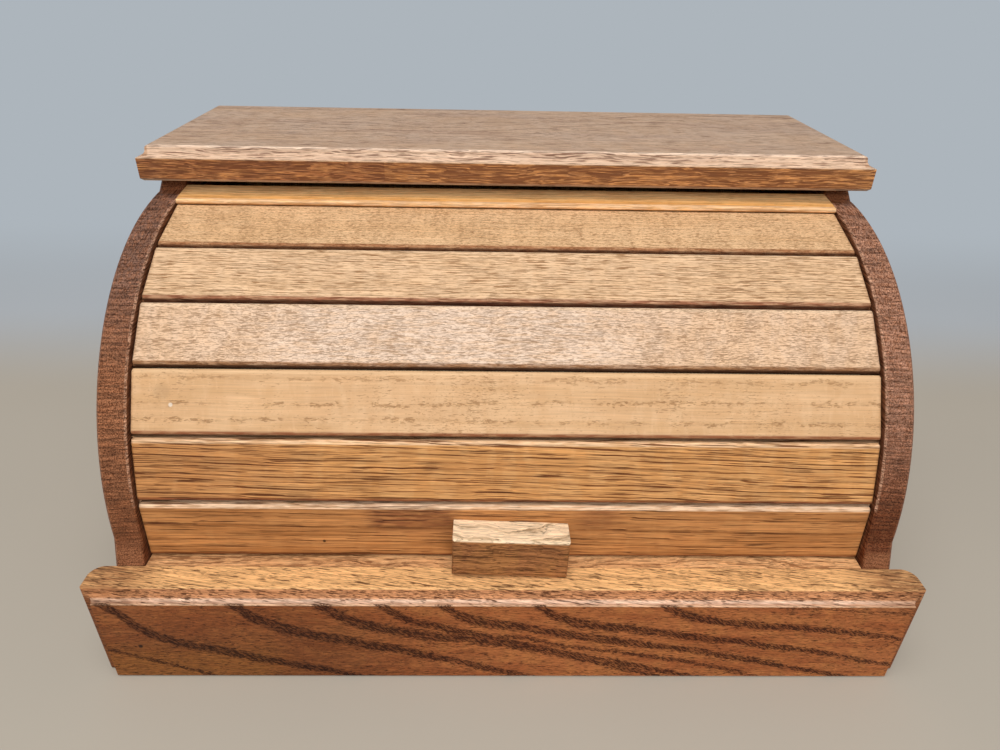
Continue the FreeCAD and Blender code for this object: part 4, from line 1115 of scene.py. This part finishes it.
    def dress_slats(self) -> None:
        """Oak slats in one golden finish over six different boards, as a maker uses up offcuts.

        The long edges are eased. Each upper edge has a painted highlight where light from above catches it,
        and each lower one painted shade, darkest along the gap to the slat below.
        """
        half = self.plan.slat_width / 2
        for index, look in enumerate(self.looks):
            end = self.slat_half - 0.9
            reach = self.plan.top_slat_reach if index == self.plan.slat_count - 1 else half
            zones = [*look.tone_and_sheen,
                     # painted highlight on the upper edge, painted shade on the lower one
                     Zone(look.top_edge_highlight, across=(reach - 2.3, FAR), soft=0.45, strength=0.8, broken=0.45),
                     Zone(look.low_edge_shade, across=(-FAR, -half + 2.0), soft=0.5, strength=0.9, broken=0.35),
                     # darker painted shade in the gap between this slat and the one below
                     Zone("#3a1a0d", across=(-FAR, -half + 0.35), soft=0.3, strength=0.8, broken=0.2),
                     Zone("#8c5a36", along=(-FAR, -end), soft=0.9, strength=0.5, broken=0.6),
                     Zone("#8c5a36", along=(end, FAR), soft=0.9, strength=0.5, broken=0.6)]
            name = "tambour_slat_%d" % (index + 1)
            dress(name, WoodFinish("golden_oak_" + name, self.plan.slat_lie(index), look.grain, look.stain,
                                   Varnish(0.48, 0.14), tuple(zones), look.spots, look.rows))

    def dress_handle(self) -> None:
        """A small oak block, brown on its front and rubbed to pale wood where fingers lift it."""
        box = Box.of("tambour_handle")
        out = self.plan.outward(self.plan.first_angle)
        tilt = math.radians(self.handle_tilt)
        across = out.cross(RIGHT)
        along = Vector((math.cos(tilt), 0, 0)) - across * math.sin(tilt)
        lie = Lie(box.middle + out * self.handle_half, along.normalized(), out)
        zones = (Zone("#ffe6c4", across=(10.3, FAR), soft=0.5, strength=0.96, broken=0.1, openness=-0.09),
                 Zone("#c08c5a", across=(-FAR, -10.4), soft=0.5, strength=0.3, broken=0.5))
        stain = Stain("#a66e43", "#7f4b24", "#4c290f", "#b8824a", "#865227", 0.4, 0.4)
        grain = Grain(ring=3.4, pith_across=-140, pith_behind=50, lean=1.0, wander=1.2, wander_length=50,
                      pore_length=8.0, pore_cover=0.2, pore_depth=0.8, ring_contrast=0.5, streak=0.28,
                      seed=8.4)
        dress("tambour_handle", WoodFinish("brown_oak_handle", lie, grain, stain, Varnish(0.5, 0.14), zones))

    def _cloth_row(self, degrees: float, row: int) -> tuple[list[Vector], list[Vector]]:
        """Place one row of the canvas: flat on a slat, creased at a joint, thicker at its hems.

        Args:
            degrees: The row's angle round the tambour's axis.
            row: Its number, which moves the slight puckers.

        Returns:
            Points on the glued side and on the side that faces in, in metres.
        """
        plan = self.plan
        off = (degrees - self.first_edge) % plan.slat_pitch - plan.slat_pitch / 2
        flat_radius = (plan.back_radius - self.glue) / math.cos(math.radians(off))
        near_joint = 1.0 - min(1.0, (plan.slat_pitch / 2 - abs(off)) / self.joint_reach)
        direction = plan.outward(degrees)
        glued: list[Vector] = []
        inward: list[Vector] = []
        for column in range(self.columns + 1):
            x = -self.canvas_half + 2 * self.canvas_half * column / self.columns
            # tight puckers in the creases, and a slight long wave that drifts from row to row
            pucker = 0.12 * near_joint * math.sin(x * 0.9) + 0.05 * math.sin(x * 0.31 + row * 0.7)
            slack = abs(pucker) + self.canvas_crease * near_joint
            in_hem = self.canvas_half - abs(x) < self.canvas_hem
            thick = self.canvas_thick + (self.hem_thick if in_hem else 0.0)
            base = plan.axis + Vector((x, 0, 0))
            glued.append((base + direction * (flat_radius - slack)) * MM)
            inward.append((base + direction * (flat_radius - slack - thick)) * MM)
        return glued, inward

    def _cloth_faces(self, rows: int) -> list[tuple[int, int, int, int]]:
        """Join the canvas's points, glued side first, into a closed sheet.

        Args:
            rows: Number of rows of points.

        Returns:
            The corners of each face.
        """
        columns, across = self.columns, self.columns + 1
        shift = rows * across
        faces: list[tuple[int, int, int, int]] = []
        for row in range(rows - 1):
            for column in range(columns):
                a = row * across + column
                b, c, d = a + 1, a + across + 1, a + across
                faces += [(a, b, c, d), (shift + d, shift + c, shift + b, shift + a)]
        rim = list(range(across))
        rim += [row * across + columns for row in range(1, rows)]
        rim += [(rows - 1) * across + column for column in range(columns - 1, -1, -1)]
        rim += [row * across for row in range(rows - 2, 0, -1)]
        return faces + [(there, here, shift + here, shift + there)
                        for here, there in zip(rim, rim[1:] + rim[:1])]

    def make_canvas(self) -> None:
        """Lay the canvas behind the slats: one woven sheet, glued flat to each of them."""
        plan = self.plan
        steps = self.steps_per_slat * plan.slat_count
        rows = [self._cloth_row(self.first_edge + plan.slat_pitch * plan.slat_count * row / steps, row)
                for row in range(steps + 1)]
        points = [tuple(point) for side in (0, 1) for row in rows for point in row[side]]
        faces = self._cloth_faces(len(rows))
        mesh = bpy.data.meshes.new("canvas_backing")
        mesh.from_pydata(points, [], faces)
        mesh.validate()
        mesh.shade_smooth()
        piece = put("canvas_backing", mesh)
        mesh.materials.append(CanvasFinish("unbleached_cotton_duck", Lie(plan.axis, RIGHT, UP)).material)
        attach(piece, "tambour")
        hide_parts("tambour_canvas")
        log.info("canvas_backing: %d faces", len(faces))

    def make(self) -> None:
        """Dress the slats and the handle and weave the canvas."""
        self.dress_slats()
        self.dress_handle()
        self.make_canvas()


# ---------------------------------------------------------------- drawer


@dataclass
class Drawer:
    """The drawer's moulded front and its plain box."""

    mould: float = 6.3
    veneer: float = 4.0 / 3
    bands: tuple[Band, ...] = (
        Band(((-250, 40), (-208, 22), (-180, 11), (-150, -2), (-120, -12)), (3.0, 2.0), 0.9),
        Band(((-222, 75), (-202, 55), (-178, 31), (-150, 21), (-112, 10), (-80, 1), (-50, -8)), (9.5, 3.2)),
        Band(((-157, 75), (-137, 55), (-119, 40), (-85, 30), (-40, 17), (0, 4), (30, -6)), (10.5, 3.4)),
        Band(((-114, 75), (-94, 55), (-77, 43), (-50, 35), (-7, 28), (40, 15), (80, 2), (110, -8)),
             (9.0, 3.0)),
        Band(((-83, 75), (-63, 55), (-48, 44), (-26, 37), (-7, 31), (30, 20), (75, 8), (120, -4)),
             (7.0, 2.6)),
        Band(((-51, 75), (-31, 55), (-22, 47), (10, 39), (54, 30), (113, 19), (179, 2), (215, -8)),
             (8.0, 2.8)),
        Band(((-14, 28), (-2, 32), (28, 26), (72, 18), (115, 8), (150, -4)), (3.0, 3.0), 0.9),
        Band(((-3, 75), (17, 55), (28, 46), (80, 36), (121, 29), (169, 20), (215, 9)), (8.0, 2.8)),
        Band(((62, 75), (82, 55), (94, 48), (113, 44), (159, 39), (215, 30)), (7.5, 2.8)),
        Band(((138, 54.6), (176, 52.5), (215, 50)), (1.4, 1.2), 0.7),
    )

    def dress_front(self) -> None:
        """Flat-sawn oak, stained reddish brown on its face and left golden on top.

        Lines of open pores slant down the face. The cove under the bead has a whitish pink painted
        reflection of the light from above, and its lower arris is rubbed to bare wood.
        """
        box = Box.of("drawer_front")
        lie = Lie(Vector((0, box.low.y, 0)), RIGHT, FRONT)
        top, half, sill = box.high.z, box.high.x, box.high.z - self.mould
        zones = [Zone("#5d3015", along=(-FAR, -55.0), across=(-FAR, sill), soft=60.0, strength=0.85,
                      broken=0.25),
                 Zone("#9a6430", along=(-FAR, -120.0), across=(-FAR, 22.0), soft=14.0, strength=0.6,
                      broken=0.4),
                 Zone("#f8c488", across=(top - 0.5, FAR), soft=0.35, strength=0.96, broken=0.08,
                      openness=0.03),
                 Zone("#d69a6e", across=(sill + 0.1, top - 0.7), out=(-self.mould + 0.1, -2.8), soft=0.4,
                      strength=0.9, broken=0.3, openness=0.07),
                 # painted reflection of the light from above on the lower cove
                 Zone("#f1cfb6", across=(sill + 0.1, sill + 3.0), out=(-3.2, FAR), soft=0.5, strength=0.9,
                      broken=0.35),
                 Zone("#f2cdaa", across=(sill - 0.3, sill + 0.5), out=(-0.8, FAR), soft=0.25, strength=0.8,
                      broken=0.3)]
        for side in (-1, 1):
            zones.append(Zone("#6b3d25", along=span(side * (half - self.mould + 0.2), side * FAR),
                              across=(-FAR, sill), out=(-self.mould, FAR), soft=0.4, strength=0.7,
                              broken=0.4))
            zones.append(Zone("#95613c", along=span(side * (half - 30.0), side * FAR),
                              across=(top - 8.0, FAR), soft=14.0, strength=0.9, broken=0.4))
        stain = Stain(late="#a9663a", early="#5f2f16", pore="#45200d", bloom="#b87843", shade="#924f2a",
                      bloom_amount=0.4, shade_amount=0.6)
        grain = Grain(ring=2.6, pith_across=-195.0, pith_behind=60.0, lean=1.5, skew=9.0, wander=1.0,
                      wander_length=120.0, early_share=0.4, pore_width=0.55, pore_length=9.0, pore_cover=0.06,
                      pore_crowd=0.03, pore_depth=0.9, fine_depth=0.55, clump_pull=0.2, ring_contrast=0.15,
                      streak=0.26, mark_lean=38.0, mark_depth=0.85, line_depth=0.6, seed=11.0)
        spots = (Spot("#1c0d07", (-191.0, 24.5, 0.0), 1.3),)
        dress("drawer_front", WoodFinish("red_brown_oak_front", lie, grain, stain, Varnish(0.5, 0.16, 0.2),
                                         tuple(zones), spots, self.bands))

    def dress_box(self) -> None:
        """Bare planed poplar boards round a plywood bottom."""
        stain = Stain(late="#cfb184", early="#b89566", pore="#8d6c42", bloom="#dcc49c", shade="#ab8f62")
        grain = Grain(ring=3.8, pith_across=25.0, pith_behind=35.0, wander=2.4, pore_cover=0.24,
                      pore_depth=0.4, pore_length=5.0, ring_contrast=0.5, streak=0.06)
        faces = {"drawer_box_front": (RIGHT, BACK), "drawer_back": (RIGHT, BACK),
                 "drawer_side_left": (BACK, LEFT), "drawer_side_right": (BACK, RIGHT)}
        for seed, (name, (along, out)) in enumerate(faces.items()):
            lie = Lie(Box.of(name).middle, along, out)
            dress(name, WoodFinish("bare_planed_" + name, lie, replace(grain, seed=80.0 + 3 * seed), stain,
                                   BARE_WOOD))
        box = Box.of("drawer_bottom")
        lie = Lie(Vector((0, 0, box.high.z)), RIGHT, UP)
        veneer = Grain(ring=7.0, pith_across=10.0, pith_behind=12.0, wander=6.0, wander_length=170.0,
                       pore_length=7.0, pore_cover=0.3, pore_depth=0.4, ring_contrast=0.7, streak=0.07,
                       seed=97.0)
        dress("drawer_bottom", WoodFinish("bare_plywood_bottom", lie, veneer, BARE_PLYWOOD, BARE_WOOD,
                                          ply=self.veneer))

    def make(self) -> None:
        """Dress the front and the box."""
        self.dress_front()
        self.dress_box()


@dataclass
class Fastenings:
    """Screws and nails, in one dulled steel."""

    nodes: tuple[str, ...] = ("runner_screws", "back_nails", "handle_screws", "drawer_front_screws",
                              "drawer_nails")

    def make(self) -> None:
        """Dress every node of fastenings."""
        finish = SteelFinish("dulled_mild_steel", Lie(Vector((0, 0, 0)), RIGHT, UP))
        for node in self.nodes:
            dress(node, finish)


# ---------------------------------------------------------------- floor, light and camera


@dataclass
class Studio:
    """A plain pale floor, soft light from above and in front, and the camera."""

    floor_colour: str = "#bbb5aa"
    floor_far_colour: str = "#bfc8d2"
    floor_roughness: float = 0.75
    floor_half: float = 4.0           # in metres
    floor_change: Span = (140.0, 330.0)   # how far back it turns to its far colour
    floor_fade: Span = (280.0, 620.0)     # how far back the backdrop takes over
    floor_end: Span = (900.0, 2600.0)     # how far off it takes over all round
    backdrop_colour: str = "#adb5bc"
    light_colour: str = "#fffaf4"
    room_light: float = 0.28
    key_watts: float = 19.0
    front_watts: float = 19.5
    lamp_aim: float = 0.12            # height in metres that the lamps point at
    lens: float = 25.31
    sensor: float = 36.0
    camera_place: Triple = (-12.03, -384.60, 336.75)
    yaw: float = 1.31
    pitch: float = 30.63
    roll: float = -1.22

    def lay_floor(self) -> None:
        """A wide matt floor, faintly mottled, that passes into the pale backdrop behind the box."""
        half = self.floor_half
        mesh = bpy.data.meshes.new("studio_floor")
        corners = [(-half, -half, 0), (half, -half, 0), (half, half, 0), (-half, half, 0)]
        mesh.from_pydata(corners, [], [(0, 1, 2, 3)])
        floor = put("studio_floor", mesh)
        finish = Finish("matt_pale_floor", Lie(Vector((0, 0, 0)), RIGHT, UP))
        mottle = finish.noise((160.0, 160.0, 160.0), 1.0, 3.0)
        light = finish.add("MapRange", (mottle, 0.0, 1.0, 0.97, 1.03))
        parts = finish.add("SeparateXYZ", (finish.place,))
        change, behind = (finish.add("MapRange", (parts.outputs[1], *reach), **SMOOTH)
                          for reach in (self.floor_change, self.floor_fade))
        near, far = linear(self.floor_colour), linear(self.floor_far_colour)
        plain = finish.add("Mix", (change, near, far), **COLOURS)
        colour = finish.add("VectorMath", (plain, light), operation="SCALE")
        finish.fill(finish.shader, {"Base Color": colour, "Roughness": self.floor_roughness})
        away = finish.add("VectorMath", (finish.place,), operation="LENGTH")
        ending = finish.add("MapRange", (away, *self.floor_end), **SMOOTH)
        behind = finish.add("Math", (behind, ending), operation="MAXIMUM")
        rays = finish.add("LightPath")
        seen = finish.add("Math", (behind, rays.outputs["Is Camera Ray"]), operation="MULTIPLY")
        backdrop = finish.add("Emission", {"Color": linear(self.backdrop_colour), "Strength": 1.0})
        mixed = finish.add("MixShader", (seen, finish.shader, backdrop))
        finish.fill(finish.output, {"Surface": mixed})
        mesh.materials.append(finish.material)

    def light_room(self) -> None:
        """Even light from all round, with a pale backdrop that only the camera and gloss see."""
        world = bpy.data.worlds.new("studio_room")
        bpy.context.scene.world = world
        room = Shading(world)
        rays = room.add("LightPath")
        seen = room.add("Math", (rays.outputs["Is Camera Ray"], rays.outputs["Is Glossy Ray"]),
                        operation="MAXIMUM")
        seen = room.add("Math", (seen, rays.outputs["Is Transmission Ray"]), operation="MAXIMUM")
        lit = room.add("Background", {"Color": linear(self.light_colour), "Strength": self.room_light})
        shown = room.add("Background", {"Color": linear(self.backdrop_colour), "Strength": 1.0})
        mixed = room.add("MixShader", (seen, lit, shown))
        room.add("OutputWorld", {"Surface": mixed})

    def hang_lamps(self) -> None:
        """A broad soft lamp overhead, a little in front, and a long one behind the camera."""
        for name, place, size, watts in (("overhead_lamp", (-0.15, -0.65, 1.80), (1.5, 1.5), self.key_watts),
                                         ("front_lamp", (0.20, -1.85, 1.15), (2.2, 0.8), self.front_watts)):
            data = bpy.data.lights.new(name, "AREA")
            data.shape = "ELLIPSE"
            data.size, data.size_y = size
            data.energy = watts
            data.color = linear(self.light_colour)[:3]
            lamp = put(name, data)
            lamp.location = place
            aim = Vector((0, 0, self.lamp_aim)) - Vector(place)
            lamp.rotation_euler = aim.to_track_quat("-Z", "Y").to_euler()

    def place_camera(self) -> None:
        """Set the camera from its place, yaw, pitch and roll."""
        yaw, pitch, roll = (math.radians(angle) for angle in (self.yaw, self.pitch, self.roll))
        forward = Vector((math.sin(yaw) * math.cos(pitch), math.cos(yaw) * math.cos(pitch), -math.sin(pitch)))
        level = Vector((math.cos(yaw), -math.sin(yaw), 0))
        down = forward.cross(level)
        right = level * math.cos(roll) + down * math.sin(roll)
        lower = -level * math.sin(roll) + down * math.cos(roll)
        data = bpy.data.cameras.new("camera")
        data.lens = self.lens
        data.sensor_width = self.sensor
        data.sensor_fit = "HORIZONTAL"
        data.clip_start = 0.01
        camera = put("camera", data)
        turn = Matrix((right, -lower, -forward)).transposed()
        camera.matrix_world = Matrix.Translation(Vector(self.camera_place) * MM) @ turn.to_4x4()
        bpy.context.scene.camera = camera

    def make(self) -> None:
        """Set up floor, light and camera."""
        self.lay_floor()
        self.light_room()
        self.hang_lamps()
        self.place_camera()


def main() -> None:
    """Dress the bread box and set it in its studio."""
    logging.basicConfig(level=logging.INFO, format="%(name)s: %(message)s")
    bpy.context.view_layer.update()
    for part in (Cabinet(), Tambour(), Drawer(), Fastenings(), Studio()):
        part.make()
        log.info("%s done", type(part).__name__)
    bpy.context.scene.view_settings.view_transform = "Standard"


if __name__ == "__main__":
    main()
